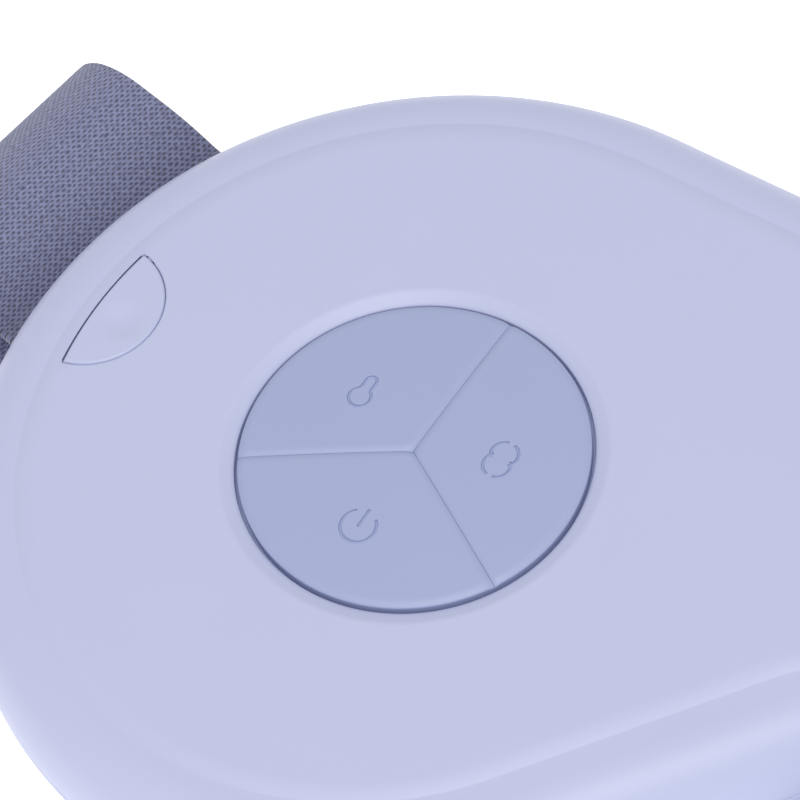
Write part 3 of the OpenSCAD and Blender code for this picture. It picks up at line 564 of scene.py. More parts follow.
# Well round the keys' flanges, with ears for the retainer's screws
WELL_ROOM = 2.1 * MM
WELL_WALL = 1.5 * MM
EAR_TURNS = np.radians([90, 210, 330])
EAR_OUT = 1.6 * MM
EAR_R = 2.4 * MM
EAR_PILOT_R = 0.85 * MM
EAR_PILOT_H = 2.4 * MM
# Half-round port cover, its hinge and the floor under it, measured from the disc's centre
FLAP_CENTRE = (-47.7 * MM, -0.9 * MM)
FLAP_R = 9.3 * MM
FLAP_EDGE_R = 46.85 * MM
FLAP_T = 1.7 * MM
FLAP_GAP = 0.05 * MM
FLAP_EDGE_ROUND = 0.4 * MM
FLAP_FLOOR = ((-48.0 * MM, -11.7 * MM), (-37.1 * MM, 9.9 * MM))
FLAP_FLOOR_Z = TOP_Z - FLAP_T - FLAP_GAP
FLAP_FLOOR_T = 1.8 * MM
FLAP_FOOT_ROUND = 0.15 * MM
DIMPLE_AT = (-42.6 * MM, -0.5 * MM)
DIMPLE_R = 3.6 * MM
DIMPLE_D = 0.42 * MM
DIMPLE_SHARES = np.linspace(0.08, 0.94, 14)
DIMPLE_RIM_R = DIMPLE_R * 1.05
DIMPLE_LEAST = 0.02 * MM
HINGE_Z = TOP_Z - FLAP_T / 2
# Clearance of the swinging edge: steps each way, how far it passes the cover's ends, its least radius, its
# gap over the cover's own side, and the reach at the two tips, which lie nearly on the axis
SWING_STEPS = 48
SWING_PAST = 0.02 * MM
SWING_LEAST = 0.2 * MM
SWING_GAP = 0.03 * MM
TIP_WIDTH = 0.15 * MM
TIP_REACH = 0.75 * MM
PIN_R = 0.5 * MM
PIN_OUT = 0.4 * MM
PIN_GAP = 0.05 * MM
PIN_END_GAP = 0.1 * MM
# Rounded edge of the port cover's recess: inset from the cover's loop and height over the plateau, in mm
RECESS_EDGE = ((0, -0.3), (-0.06, -0.16), (-0.16, -0.06), (-0.34, 0.01), (-0.34, 1))
# Bars of the straps: distance in from the widest line, radius, seat and end; then their posts (distance
# beside the webbing, half thickness, reach to either side of the bar, foot and top) and ribs
BAR_OUT = 10.1 * MM
BAR_R = 1.5 * MM
BAR_SEAT_GAP = 0.05 * MM
BAR_END = 3.9 * MM
POST_SIDE = 2.1 * MM
POST_HALF = 1.5 * MM
POST_REACH = (2.2 * MM, 1.7 * MM)
POST_FOOT = 0.3 * MM
POST_TOP = 0.3 * MM
BAR_RIB_HALF = 1 * MM
BAR_RIB_GAP = 0.3 * MM
# What stands inside the back cover: bosses of the two boards, saddles of the motors, ribs of the battery
BOARD_BOSS_R = {"main_board": 2.6 * MM, "socket_board": 2 * MM}
BOARD_PILOT_GAP = 0.05 * MM
BOARD_PILOT_FOOT = 0.2 * MM
SADDLE_T = 2 * MM
SADDLE_WALL = 2 * MM
SADDLE_IN = (3 * MM, 5 * MM)
SLEEVE_T = 1.1 * MM
RIB_HALF_T = 0.75 * MM
RIB_HALF_W = 4 * MM
# Slots that let the webbing out: room beside it, start from the bar and end beyond the widest line
SLOT_ROOM = 0.5 * MM
SLOT_START = 3 * MM
SLOT_END = 5.5 * MM
SOCKET_SLOT_DEPTH = 4 * MM


def disc_centre(s):
    """Middle of the round disc of keys"""
    return (-s.lobe_dx - s.disc_out, 0.0)


def bar_frame(s, b, side):
    """Turn and lobe centre of one side's bar, posts and slot, as a block takes them"""
    return math.pi - b.angle if side < 0 else b.angle, (side * s.lobe_dx, 0.0)


def skin_solid(name, s, profile):
    """Solid through insets of the outline, or through loops, each with its height"""
    return loft(name, [at_height(level if isinstance(level, np.ndarray) else outline(s, level), z)
                       for level, z in profile])


def front_skin(s):
    """Loops of the front's outer skin with their heights: seam edge, rim, ledge, crease, plateau"""
    seam = seam_z(s)
    skin = [(outline(s, s.seam_round * (1 + math.cos(a))), seam + s.seam_round * (1 + math.sin(a)))
            for a in np.linspace(-math.pi / 2, -math.pi, 5)]
    rise = s.rim_drop - s.crease_h
    power = 2 / s.rim_full
    start = math.asin((RIM_START * s.seam_round / rise) ** (1 / power))
    for t in np.concatenate([np.linspace(start, RIM_EVEN_END, 22), RIM_TOP_TURNS]):
        inset = s.rim_w * (1 - abs(math.cos(t)) ** power)
        skin.append((outline(s, inset), seam + rise * math.sin(t) ** power))
    for u in np.linspace(0, 1, 13):
        skin.append((crease(s, s.crease_w * u), TOP_Z - s.crease_h * (1 - u) ** CREASE_POWER))
    return skin + [(crease(s, s.crease_w + PLATEAU_LEDGE), TOP_Z)]


def front_cavity(s):
    """Insets and heights of the front's hollow, from the seam up to its flat ceiling"""
    low = seam_z(s) + LIP_H + SEAT_GAP
    rise = (ceiling_z(s) - low) / math.sin(CAVITY_TURN)
    reach = s.rim_w / (1 - math.cos(CAVITY_TURN))
    rim = [(s.front_wall + reach * (1 - math.cos(t)), low + rise * math.sin(t))
           for t in np.linspace(0, CAVITY_TURN, 9)]
    return [(s.front_wall, seam_z(s) - MM)] + rim


def back_skin(s):
    """Insets and heights of the back's outer skin, from its flat floor up to the seam"""
    seam = seam_z(s)
    rim = [(s.back_rim_w * (1 - math.cos(t)), seam - (seam - SHELL_Z) * math.sin(t))
           for t in np.linspace(math.pi / 2, math.radians(4), 26)]
    edge = [(s.seam_round * (1 + math.cos(a)), seam - s.seam_round * (1 - math.sin(a)))
            for a in np.linspace(math.pi, math.pi / 2, 5)]
    return rim + edge


def back_cavity(s):
    """Insets and heights of the back's hollow, from its flat floor up past the seam"""
    seam = seam_z(s)
    rim = [(s.back_wall + s.back_rim_w * (1 - math.cos(t)), seam - (seam - floor_z(s)) * math.sin(t))
           for t in np.linspace(math.pi / 2, 0, 10)]
    return rim + [(s.back_wall, seam + MM)]


def screw_centres():
    """Centres of the six shell screws"""
    for side in (-1, 1):
        for reach, deg in SCREW_PLACES:
            a = math.radians(deg)
            yield side * (SCREW_LOBE_DX - reach * MM * math.cos(a)), reach * MM * math.sin(a)


def strap_slots(s, b, low, high):
    """Cutters for the openings that let the webbing out"""
    half = b.width / 2 + SLOT_ROOM
    inner, outer = s.lobe_r - BAR_OUT + SLOT_START, s.lobe_r + SLOT_END
    return [block("strap_slot", (inner, -half, low), (outer, half, high), *bar_frame(s, b, side))
            for side in (-1, 1)]


def flap_loop(s, inset):
    """Loop of the half-round cover: a round inner edge and an outer edge that follows the crease"""
    inner_r, outer_r = FLAP_R - inset, FLAP_EDGE_R - inset
    reach = math.hypot(*FLAP_CENTRE)
    heading = math.atan2(FLAP_CENTRE[1], FLAP_CENTRE[0])
    along = (reach ** 2 + outer_r ** 2 - inner_r ** 2) / (2 * reach)
    half = math.acos(along / outer_r)
    outer = arc((0, 0), outer_r, heading - half, heading + half, count=24)
    upper, lower = (math.atan2(y - FLAP_CENTRE[1], x - FLAP_CENTRE[0]) for x, y in (outer[0], outer[-1]))
    inner = arc(FLAP_CENTRE, inner_r, lower, upper, count=56)
    return np.concatenate([inner, outer[1:-1]]) + disc_centre(s)


def flap_swing(s):
    """Cutter turned about the hinge's axis that clears the swinging outer edge of the cover. Over the
    cover's own side of the axis it stays low, so that it doesn't break through the plateau"""
    disc_x, _ = disc_centre(s)
    a = np.linspace(0, 2 * math.pi, SWING_STEPS + 1)[:-1]
    inner_top = (a > 0.01) & (a < math.pi / 2 - 0.01)
    rings = []
    for across in np.linspace(-math.pi / 2, math.pi / 2, SWING_STEPS + 1):
        y = (FLAP_R + SWING_PAST) * math.sin(across) + FLAP_CENTRE[1]
        beyond = math.sqrt(FLAP_EDGE_R ** 2 - y * y) + HINGE_X - disc_x
        reach = math.hypot(max(SWING_LEAST, beyond), FLAP_T / 2)
        span = math.sqrt(max(0, FLAP_R ** 2 - (y - FLAP_CENTRE[1]) ** 2))
        inner = disc_x + FLAP_CENTRE[0] + span - HINGE_X
        if inner > TIP_WIDTH:
            near = min(reach, math.hypot(inner, FLAP_T / 2) + SWING_GAP)
            reach = np.where(inner_top, near, reach)
        else:
            reach = np.where(np.cos(a) > 0.01, TIP_REACH, reach)
        rings.append(np.column_stack([HINGE_X + reach * np.sin(a), np.full(SWING_STEPS, y),
                                      HINGE_Z + reach * np.cos(a)]))
    return loft("flap_swing", rings)


def ring_opening(s, k):
    """Cutter for the keys' opening and the dished ring round it, which runs out softly on the plateau"""
    r, low = k.disc_r, TOP_Z - s.dish_h
    points = [(r, TOP_Z - OPENING_DEPTH), (r, low - DISH_FOOT_DEPTH),
              (r + DISH_FOOT_ROUND, low - DISH_FOOT_ROUND)]
    dish = [(u, 1 - u) for u in DISH_SLOPE]
    start, middle, end = DISH_CURVE
    for v in np.linspace(0.15, 1, 8):
        dish.append((1 - v) ** 2 * start + 2 * v * (1 - v) * middle + v * v * end)
    points += [(r + s.dish_w * across, TOP_Z - s.dish_h * down) for across, down in dish]
    points.append((points[-1][0], TOP_Z + 3 * MM))
    return turned("ring_opening", points, disc_centre(s), 192)


def socket_slot():
    """Cutter for the charging socket, an upright slot with round ends"""
    low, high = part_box("charging_socket")
    middle = (low + high) / 2
    r = (high.x - low.x + SEAT_GAP) / 2
    run = (high.y - low.y + SEAT_GAP) / 2 - r
    loop = np.concatenate([arc((middle.x, middle.y + run), r, 0, math.pi, 16),
                           arc((middle.x, middle.y - run), r, math.pi, 2 * math.pi, 16)])
    return loft("socket_slot", [at_height(loop, FLAP_FLOOR_Z - SOCKET_SLOT_DEPTH),
                                at_height(loop, FLAP_FLOOR_Z + MM)])


def make_front_cover(s, k, b):
    """Front shell with the keys' well, the port cover's floor, the bars' ribs and the screws' bosses"""
    top = ceiling_z(s) + BITE
    membrane_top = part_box("keypad_membrane")[1].z
    disc_x, disc_y = disc_centre(s)
    cover = skin_solid("front_cover_skin", s, front_skin(s))
    combine(cover, [skin_solid("front_cavity", s, front_cavity(s))], "DIFFERENCE")
    well_r = k.disc_r + WELL_ROOM
    well_out = well_r + WELL_WALL
    joined = [turned("key_well", [(well_out, membrane_top), (well_out, top)], (disc_x, disc_y))]
    for a in EAR_TURNS:
        spot = (disc_x + (well_out + EAR_OUT) * math.cos(a), (well_out + EAR_OUT) * math.sin(a))
        joined.append(pillar("ear", spot, membrane_top, top, EAR_R))
    (x0, y0), (x1, y1) = FLAP_FLOOR
    joined.append(block("port_floor", (disc_x + x0, y0, FLAP_FLOOR_Z - FLAP_FLOOR_T),
                        (disc_x + x1, y1, top)))
    bar_u = s.lobe_r - BAR_OUT
    for side in (-1, 1):
        for end in (-1, 1):
            y = end * (b.width / 2 + POST_SIDE)
            joined.append(block("bar_rib", (bar_u - BAR_RIB_HALF, y - BAR_RIB_HALF, BAR_BOX[1].z),
                                (bar_u + BAR_RIB_HALF, y + BAR_RIB_HALF, ceiling_z(s) - BAR_RIB_GAP),
                                *bar_frame(s, b, side)))
    joined += [pillar("boss", spot, SHELL_Z + FRONT_BOSS_UP, top, FRONT_BOSS_R) for spot in screw_centres()]
    combine(cover, joined, "UNION")
    cut = [turned("well_bore", [(well_r, membrane_top - MM), (well_r, ceiling_z(s))], (disc_x, disc_y)),
           ring_opening(s, k)]
    edge = [(0, FLAP_FLOOR_Z)] + [(inset * MM, TOP_Z + up * MM) for inset, up in RECESS_EDGE]
    cut.append(loft("port_recess", [at_height(flap_loop(s, inset), z) for inset, z in edge]))
    cut.append(flap_swing(s))
    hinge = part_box("port_cover")
    cut.append(rod("hinge_bore", (HINGE_X, hinge[0].y - PIN_END_GAP, HINGE_Z),
                   (HINGE_X, hinge[1].y + PIN_END_GAP, HINGE_Z), PIN_R + PIN_GAP, 16))
    cut.append(socket_slot())
    cut += strap_slots(s, b, seam_z(s) - MM, seam_z(s) + b.thickness / 2 + SLOT_ROOM)
    cut += [pillar("pilot", spot, SHELL_Z + PILOT_UP[0], SHELL_Z + PILOT_UP[1], PILOT_R, 16)
            for spot in screw_centres()]
    cut += [pillar("ear_pilot", spot, membrane_top - BITE, membrane_top + EAR_PILOT_H, EAR_PILOT_R, 16)
            for spot, _ in screw_spots("retainer_screws")]
    return combine(cover, cut, "DIFFERENCE")


def screw_spots(node):
    """Middle of each screw of a CAD node, with the radius of its lower end"""
    for low, high, group in node_islands(node):
        x, y = (low.x + high.x) / 2, (low.y + high.y) / 2
        yield (x, y), max(math.hypot(p.x - x, p.y - y) for p in group if p.z < low.z + 0.1 * MM)


def back_inside(s):
    """Board bosses, socket posts, motor saddles and battery ribs, and the bores in them"""
    low = floor_z(s) - BITE
    joined, cut = [], []
    for screws, board in (("board_screws", "main_board"), ("socket_board_screws", "socket_board")):
        for spot, tip in screw_spots(screws):
            joined.append(pillar("board_boss", spot, low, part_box(board)[0].z, BOARD_BOSS_R[board]))
            cut.append(pillar("board_pilot", spot, floor_z(s) + BOARD_PILOT_FOOT, TOP_Z,
                              tip + BOARD_PILOT_GAP, 16))
    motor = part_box("left_motor")
    middle, motor_r = (motor[0] + motor[1]) / 2, (motor[1].z - motor[0].z) / 2
    half = motor_r + SADDLE_WALL
    for side in (-1, 1):
        for start in (motor[0].x + SADDLE_IN[0], motor[1].x - SADDLE_IN[1]):
            x0, x1 = sorted((-side * start, -side * (start + SADDLE_T)))
            joined.append(block("saddle", (x0, middle.y - half, low), (x1, middle.y + half, middle.z)))
        cut.append(rod("saddle_bore", (-side * (motor[0].x + MM), middle.y, middle.z),
                       (-side * (motor[1].x - MM), middle.y, middle.z), motor_r + SLEEVE_T))
    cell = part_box("battery")
    middle, extent = (cell[0] + cell[1]) / 2, cell[1] - cell[0]
    for along in (-1, 1):
        x = middle.x + along * (extent.x / 2 + SEAT_GAP + RIB_HALF_T)
        for across in (-1, 1):
            y = middle.y + across * extent.y / 4
            joined.append(block("battery_rib", (x - RIB_HALF_T, y - RIB_HALF_W, low),
                                (x + RIB_HALF_T, y + RIB_HALF_W, middle.z + BITE)))
    return joined, cut


def make_lip(s):
    """Ring that stands up from the back cover inside the seam"""
    seam = seam_z(s)
    outer, inner = s.back_wall - LIP_BITE, s.front_wall + SLIP_GAP
    lip = skin_solid("lip", s, [(outer, seam - LIP_FOOT), (outer, seam - LIP_STEP[0]),
                                (inner, seam - LIP_STEP[1]), (inner, seam + LIP_H)])
    bore = skin_solid("lip_bore", s, [(inner + LIP_T, seam - 3 * MM), (inner + LIP_T, seam + 4 * MM)])
    return combine(lip, [bore], "DIFFERENCE")


def make_back_cover(s, b):
    """Back shell with its lip, bosses, bar posts and what holds the parts inside"""
    seam, floor = seam_z(s), floor_z(s)
    cover = skin_solid("back_cover_skin", s, back_skin(s))
    combine(cover, [skin_solid("back_cavity", s, back_cavity(s))], "DIFFERENCE")
    joined = [make_lip(s)]
    joined += [pillar("boss", spot, floor - BITE, floor + BACK_BOSS_H, BACK_BOSS_R)
               for spot in screw_centres()]
    bar_z = (BAR_BOX[0].z + BAR_BOX[1].z) / 2
    bar_u = s.lobe_r - BAR_OUT
    for side in (-1, 1):
        for end in (-1, 1):
            y = end * (b.width / 2 + POST_SIDE)
            joined.append(block("post", (bar_u - POST_REACH[0], y - POST_HALF, floor + POST_FOOT),
                                (bar_u + POST_REACH[1], y + POST_HALF, bar_z + POST_TOP),
                                *bar_frame(s, b, side)))
    inside, cut = back_inside(s)
    combine(cover, joined + inside, "UNION")
    for spot in screw_centres():
        cut.append(pillar("head_recess", spot, SHELL_Z - MM, SHELL_Z + HEAD_UP, HEAD_R))
        cut.append(pillar("through", spot, SHELL_Z, SHELL_Z + SHANK_UP, SHANK_R, 16))
    for side in (-1, 1):
        heading, _ = bar_frame(s, b, side)
        out = Vector((math.cos(heading), math.sin(heading), 0))
        middle = Vector((side * s.lobe_dx, 0, bar_z)) + out * bar_u
        reach = Vector((-out.y, out.x, 0)) * (b.width / 2 + BAR_END)
        cut.append(rod("bar_seat", middle - reach, middle + reach, BAR_R + BAR_SEAT_GAP))
    cut += strap_slots(s, b, seam - b.thickness / 2 - SLOT_ROOM, seam + 5 * MM)
    return combine(cover, cut, "DIFFERENCE")


# Keys: heading in degrees of each key's middle, the flange that holds it under the front, and its stem
KEY_MIDS = {"power": 270, "heat": 150, "massage": 30}
FLANGE_W = 1.7 * MM
FLANGE_T = 1.0 * MM
FLANGE_TOP = TOP_Z - 2.1 * MM
STEM_R = 2.0 * MM
STEM_D = 12 * MM
STEM_TOP = TOP_Z - 3 * MM
HALF_KEY = math.radians(60)
# Rings of a key's top: shares of its roll-off, then shares of the way from there to its middle
ROLL_SHARES = (0.2, 0.4, 0.6, 0.8, 1)
CROWN_SHARES = (0.97, 0.92, 0.84, 0.72, 0.58, 0.43, 0.28, 0.14, 0.05)
KEY_MIDDLE = 0.55


def dome(k, x, y):
    """Height of the crowned disc over a point from the disc's centre"""
    return TOP_Z - k.edge_drop + k.crown * (1 - (x * x + y * y) / (k.disc_r - k.gap) ** 2)


def rounding_drop(radius, depth):
    """Drop of a rounded edge at a distance in from it"""
    depth = np.clip(depth, 0, radius)
    return radius - np.sqrt(np.maximum(0, radius ** 2 - (radius - depth) ** 2))


def sector(reach, side):
    """Loop of a third of a disc about the +X axis, its straight sides moved in"""
    tip = side / math.tan(HALF_KEY)
    end = math.sqrt(reach * reach - side * side)
    near, far = 0.08, 0.92
    run = [np.linspace(0, near, 5), np.linspace(near, far, 26)[1:], np.linspace(far, 1, 8)[1:]]
    along = tip + (end - tip) * np.concatenate(run)
    c, n = math.cos(HALF_KEY), math.sin(HALF_KEY)
    upper = np.stack([side * n + along * c, -side * c + along * n], axis=1)
    corner = HALF_KEY - math.asin(side / reach)
    outer = arc((0, 0), reach, -corner, corner, count=56)
    return np.concatenate([upper * [1, -1], outer[1:-1], upper[::-1][:-1]])


def key_rings(k):
    """Rings of one key, from its flange up over the rounded edges to the middle of its crown"""
    reach, side = k.disc_r - k.gap, k.divider / 2
    flange = sector(k.disc_r + FLANGE_W, side)
    below = [at_height(flange, FLANGE_TOP - FLANGE_T), at_height(flange, FLANGE_TOP),
             at_height(sector(reach, side), FLANGE_TOP)]
    loops = []
    for a in np.linspace(0, math.pi / 2, 8):
        share = 1 - math.cos(a)
        loops.append(sector(reach - k.edge_round * share, side + k.side_round * share))
    for share in ROLL_SHARES:
        inset = k.edge_round + (k.roll_w - k.edge_round) * share
        loops.append(sector(reach - inset, side + k.side_round + k.roll_w * share))
    last, middle = loops[-1], np.array([KEY_MIDDLE * reach, 0])
    loops += [middle + (last - middle) * share for share in CROWN_SHARES]
    normal = np.array([-math.sin(HALF_KEY), math.cos(HALF_KEY)])
    above = []
    for loop in loops:
        outer = reach - np.linalg.norm(loop, axis=1)
        sides = [-(loop @ (normal * [1, flip])) - side for flip in (1, -1)]
        drop = rounding_drop(k.edge_round, outer) + k.roll_h * np.clip(1 - outer / k.roll_w, 0, 1) ** 2
        for d in sides:
            drop = drop + rounding_drop(k.side_round, d) + k.side_h * np.clip(1 - d / k.side_w, 0, 1) ** 2
        above.append(np.column_stack([loop, dome(k, loop[:, 0], loop[:, 1]) - drop]))
    return below + above


def rounded_line(points, closed):
    """The same line with its corners cut twice, so that a stroke bends softly"""
    points = np.array(points)
    for _ in range(2):
        ahead = np.roll(points, -1, axis=0) if closed else points[1:]
        here = points if closed else points[:-1]
        cut = np.stack([here * 0.75 + ahead * 0.25, here * 0.25 + ahead * 0.75], axis=1).reshape(-1, 2)
        points = cut if closed else np.concatenate([points[:1], cut, points[-1:]])
    return points


def stroke_section(k):
    """Half-round floor, upright sides and rounded lip of an engraved stroke"""
    floor = [(k.stroke_r * math.cos(a), k.stroke_r * (1 + math.sin(a)) - k.stroke_d)
             for a in np.radians([180, 205, 230, 270, 310, 335, 360])]
    lip = [(k.stroke_r + k.stroke_lip * (1 - math.cos(a)), -k.stroke_lip * (1 - math.sin(a)))
           for a in np.radians([0, 35, 70])]
    lip.append((k.stroke_r + 1.1 * k.stroke_lip, 0.4 * MM))
    return floor + lip + [(-x, z) for x, z in lip[::-1]]


def groove(line, heights, k, closed):
    """Cutter for a stroke along a line, with round ends where the line is open"""
    up = np.array([0, 0, 1.0])
    section = stroke_section(k)
    round_end = [(math.sin(t), math.cos(t)) for t in np.radians([0, 30, 55, 75, 86])]
    rings = []
    last = len(line) - 1
    for i, (p, z) in enumerate(zip(line, heights)):
        before = line[i - 1] if closed or i else p
        after = line[(i + 1) % len(line)] if closed or i < last else p
        ahead = (after - before) / np.linalg.norm(after - before)
        side = np.array([-ahead[1], ahead[0], 0])
        at_end = 0 if closed else (i == last) - (i == 0)
        steps = {-1: round_end[::-1], 0: [(0, 1.0)], 1: round_end}[at_end]
        for reach, share in steps:
            centre = np.array([*(p + ahead * at_end * reach * k.stroke_r), z])
            rings.append(np.array([centre + x * share * side + d * up for x, d in section]))
    return loft("stroke", rings, closed)


# Icons, in mm and degrees from the disc's centre: a power ring with its bar, a bulb with its neck, and four
# bows about a middle
POWER_AT = (0.06, -12.04)
POWER_R = 2.22
POWER_TURN = (130, 406)
POWER_BAR = 2.4
BULB_AT = (-10.06, 3.4)
BULB_R = 1.4
NECK_R = 0.68
NECK_H = 3.28
WAVE_AT = (9.98, 4.11)
WAVE_R = 1.7
WAVE_UP = 0.87
WAVE_TURNS = ((71, -40), (107, 220))


def icon_strokes():
    """Lines of the icons by key, each with whether it is closed"""
    def bow(centre, radius, start, end, count):
        return [tuple(p) for p in arc(centre, radius, math.radians(start), math.radians(end), count)]
    ring = bow(POWER_AT, POWER_R, *POWER_TURN, 36)
    bar = [POWER_AT, (POWER_AT[0], POWER_AT[1] + POWER_BAR)]
    open_at = math.degrees(math.asin(NECK_R / BULB_R))
    neck_at = (BULB_AT[0], BULB_AT[1] + NECK_H - NECK_R)
    glass = bow(BULB_AT, BULB_R, 90 + open_at, 450 - open_at, 24) + bow(neck_at, NECK_R, 0, 180, 12)
    waves = []
    for up in (1, -1):
        for start, end in WAVE_TURNS:
            bend = bow((WAVE_AT[0], WAVE_AT[1] + WAVE_UP), WAVE_R, start, end, 18)
            waves.append(([(x, WAVE_AT[1] + up * (y - WAVE_AT[1])) for x, y in bend], False))
    return {"power": [(ring, False), (bar, False)], "heat": [(glass, True)], "massage": waves}


def make_key(s, k, kind):
    """One key, turned to its place in the disc, with its stem and its engraved icon"""
    a = math.radians(KEY_MIDS[kind])
    spin = np.array([[math.cos(a), math.sin(a)], [-math.sin(a), math.cos(a)]])
    key = loft("key_" + kind, key_rings(k))
    for vertex in key.data.vertices:
        place = np.array(tuple(vertex.co))
        place[:2] = place[:2] @ spin + disc_centre(s)
        vertex.co = place
    stem = np.array([STEM_D * math.cos(a), STEM_D * math.sin(a)]) + disc_centre(s)
    combine(key, [pillar("stem", stem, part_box(kind + "_plunger")[1].z, STEM_TOP, STEM_R)], "UNION")
    cutters = []
    for stroke, closed in icon_strokes()[kind]:
        line = rounded_line(stroke, closed) * MM
        cutters.append(groove(line + disc_centre(s), dome(k, line[:, 0], line[:, 1]), k, closed))
    return combine(key, cutters, "DIFFERENCE")


def make_port_cover(s):
    """Half-round cover with its hinge pins and a shallow thumb dimple"""
    foot = TOP_Z - FLAP_T
    rings = [(FLAP_GAP + FLAP_FOOT_ROUND, foot), (FLAP_GAP, foot + FLAP_FOOT_ROUND)]
    rings += [(FLAP_GAP + FLAP_EDGE_ROUND * (1 - math.cos(a)), TOP_Z - FLAP_EDGE_ROUND * (1 - math.sin(a)))
              for a in np.linspace(0, math.pi / 2, 6)]
    cover = loft("port_cover_plate", [at_height(flap_loop(s, inset), z) for inset, z in rings])
    half = FLAP_R + PIN_OUT
    combine(cover, [rod("pins", (HINGE_X, FLAP_CENTRE[1] - half, HINGE_Z),
                        (HINGE_X, FLAP_CENTRE[1] + half, HINGE_Z), PIN_R, 20)], "UNION")
    bowl = [(DIMPLE_R * u, TOP_Z - DIMPLE_D * (0.5 + 0.5 * math.cos(math.pi * u)))
            for u in DIMPLE_SHARES]
    rim = [(DIMPLE_RIM_R, TOP_Z + DIMPLE_LEAST), (DIMPLE_RIM_R, TOP_Z + MM)]
    spot = (disc_centre(s)[0] + DIMPLE_AT[0], FLAP_CENTRE[1] + DIMPLE_AT[1])
    dimple = turned("dimple", [(DIMPLE_LEAST, TOP_Z - DIMPLE_D)] + bowl + rim, spot, 64)
    return combine(cover, [dimple], "DIFFERENCE")


# Belt: the bend where it leaves the housing, its crest and the turn of its main fold
LIFT_R = 8 * MM
CREST_D = 9.7 * MM
CREST_FLAT = 4.8 * MM
MAIN_TURN = math.radians(70)
# Where it passes the seam, how far it wraps the bar, and the length of its ramp
EXIT_IN = 0.5 * MM
WRAP_TURNS = np.radians([-25, 250])
RAMP = 12 * MM
# Selvedge's width and roundness, the cords' relief, where along the webbing the leaning fold starts and
# ends (place and length of each change), and the hook and loop patches' inset and corners
SELVEDGE = 1.9 * MM
SELVEDGE_FULL = 0.8
SELVEDGE_SHARE = 0.3 * MM
SELVEDGE_TURNS = np.radians([75, 50, 25, 0, -25, -50, -75])
CORD_DEPTH = 0.05 * MM
LEAN_START = (23 * MM, 11 * MM)
LEAN_END = (110 * MM, 50 * MM)
PATCH_IN = 1.5 * MM
PATCH_CORNER = 2 * MM


def smooth_step(x):
    """Share that starts and ends softly between 0 and 1"""
    x = min(1, max(0, x))
    return x * x * (3 - 2 * x)


class BeltPath:
    """Middle line of the left half: round its bar, out through the seam, over the fold and back under"""

    def __init__(self, s, b):
        seam = seam_z(s)
        self.s, self.b = s, b
        bar_u, exit_u = s.lobe_r - BAR_OUT, s.lobe_r - EXIT_IN
        wrap_r = BAR_R + SEAT_GAP + b.thickness / 2
        bar_z = seam + wrap_r
        crest_r = (CREST_D + EXIT_IN - LIFT_R * math.sin(b.rise)) / math.sin(b.rise)
        crest_u = exit_u + (LIFT_R + crest_r) * math.sin(b.rise)
        crest_z = seam + (LIFT_R + crest_r) * (1 - math.cos(b.rise))
        turned_down = b.bend_r * (1 - math.cos(MAIN_TURN))
        low_r = (crest_z - b.thickness / 2 - turned_down) / (1 + math.cos(MAIN_TURN))
        fold_u = crest_u + CREST_FLAT + (b.bend_r - low_r) * math.sin(MAIN_TURN)
        self.run_r = (s.lobe_dx + fold_u * math.cos(b.angle)) / math.sin(b.angle)
        self.run_y = fold_u * math.sin(b.angle) + self.run_r * math.cos(b.angle)
        self.overlap_a = b.overlap / 2 / self.run_r
        wrap = [(bar_u + wrap_r * math.cos(a), bar_z + wrap_r * math.sin(a), a + math.pi / 2)
                for a in np.linspace(*WRAP_TURNS, 22)]
        out = [(bar_u + t * (exit_u - bar_u), seam, 0) for t in np.linspace(0, 1, 7)]
        lift = [(exit_u + LIFT_R * math.sin(a), seam + LIFT_R * (1 - math.cos(a)), a)
                for a in np.linspace(0, b.rise, 5)[1:]]
        crest = [(crest_u - crest_r * math.sin(a), crest_z - crest_r * (1 - math.cos(a)), a)
                 for a in np.linspace(b.rise, 0, 7)[1:]]
        main = [(crest_u + CREST_FLAT + b.bend_r * math.sin(a), crest_z - b.bend_r * (1 - math.cos(a)), -a)
                for a in np.linspace(0, MAIN_TURN, 19)]
        under = [(fold_u + low_r * math.sin(a), b.thickness / 2 + low_r * (math.cos(a) + 1), -a)
                 for a in np.linspace(MAIN_TURN, math.pi, 19)[1:]]
        self.fold = wrap + out + lift + crest + main + under

    def stations(self, lift):
        """Middle, width direction and thickness direction along the whole half"""
        u = np.array([-math.cos(self.b.angle), math.sin(self.b.angle), 0])
        v = np.array([math.sin(self.b.angle), math.cos(self.b.angle), 0])
        up = np.array([0, 0, 1.0])
        for reach, z, slope in self.fold:
            middle = np.array([-self.s.lobe_dx, 0, z]) + reach * u
            yield middle, v, -math.sin(slope) * u + math.cos(slope) * up
        ramp = RAMP / self.run_r
        below = 1.5 * math.pi
        for a in np.linspace(below - self.b.angle, below + self.overlap_a, 100)[1:]:
            share = smooth_step((a - below + self.overlap_a + 2 * ramp) / ramp)
            z = self.b.thickness / 2 + lift * share
            centre = np.array([self.run_r * math.cos(a), self.run_y + self.run_r * math.sin(a), z])
            yield centre, -np.array([math.cos(a), math.sin(a), 0]), -up


def strap_section(b):
    """Section of the webbing across its width: place, height and the place that the weave follows"""
    half, thick = b.width / 2, b.thickness / 2
    cords = int((b.width - 2 * SELVEDGE) / b.cord_pitch)
    pitch = (b.width - 2 * SELVEDGE) / cords
    across = np.linspace(half - SELVEDGE, -half + SELVEDGE, 3 * cords + 1)
    depth = CORD_DEPTH * (1 - np.abs(np.cos(math.pi * (across - half + SELVEDGE) / pitch)))
    section = []
    for side in (1, -1):
        section += [(x * side, (thick - d) * side, x * side) for x, d in zip(across, depth)]
        section += [(side * (-half + thick * SELVEDGE_FULL * (1 - math.cos(a))), side * thick * math.sin(a),
                     side * (-half + SELVEDGE_SHARE)) for a in SELVEDGE_TURNS]
    return np.array(section)


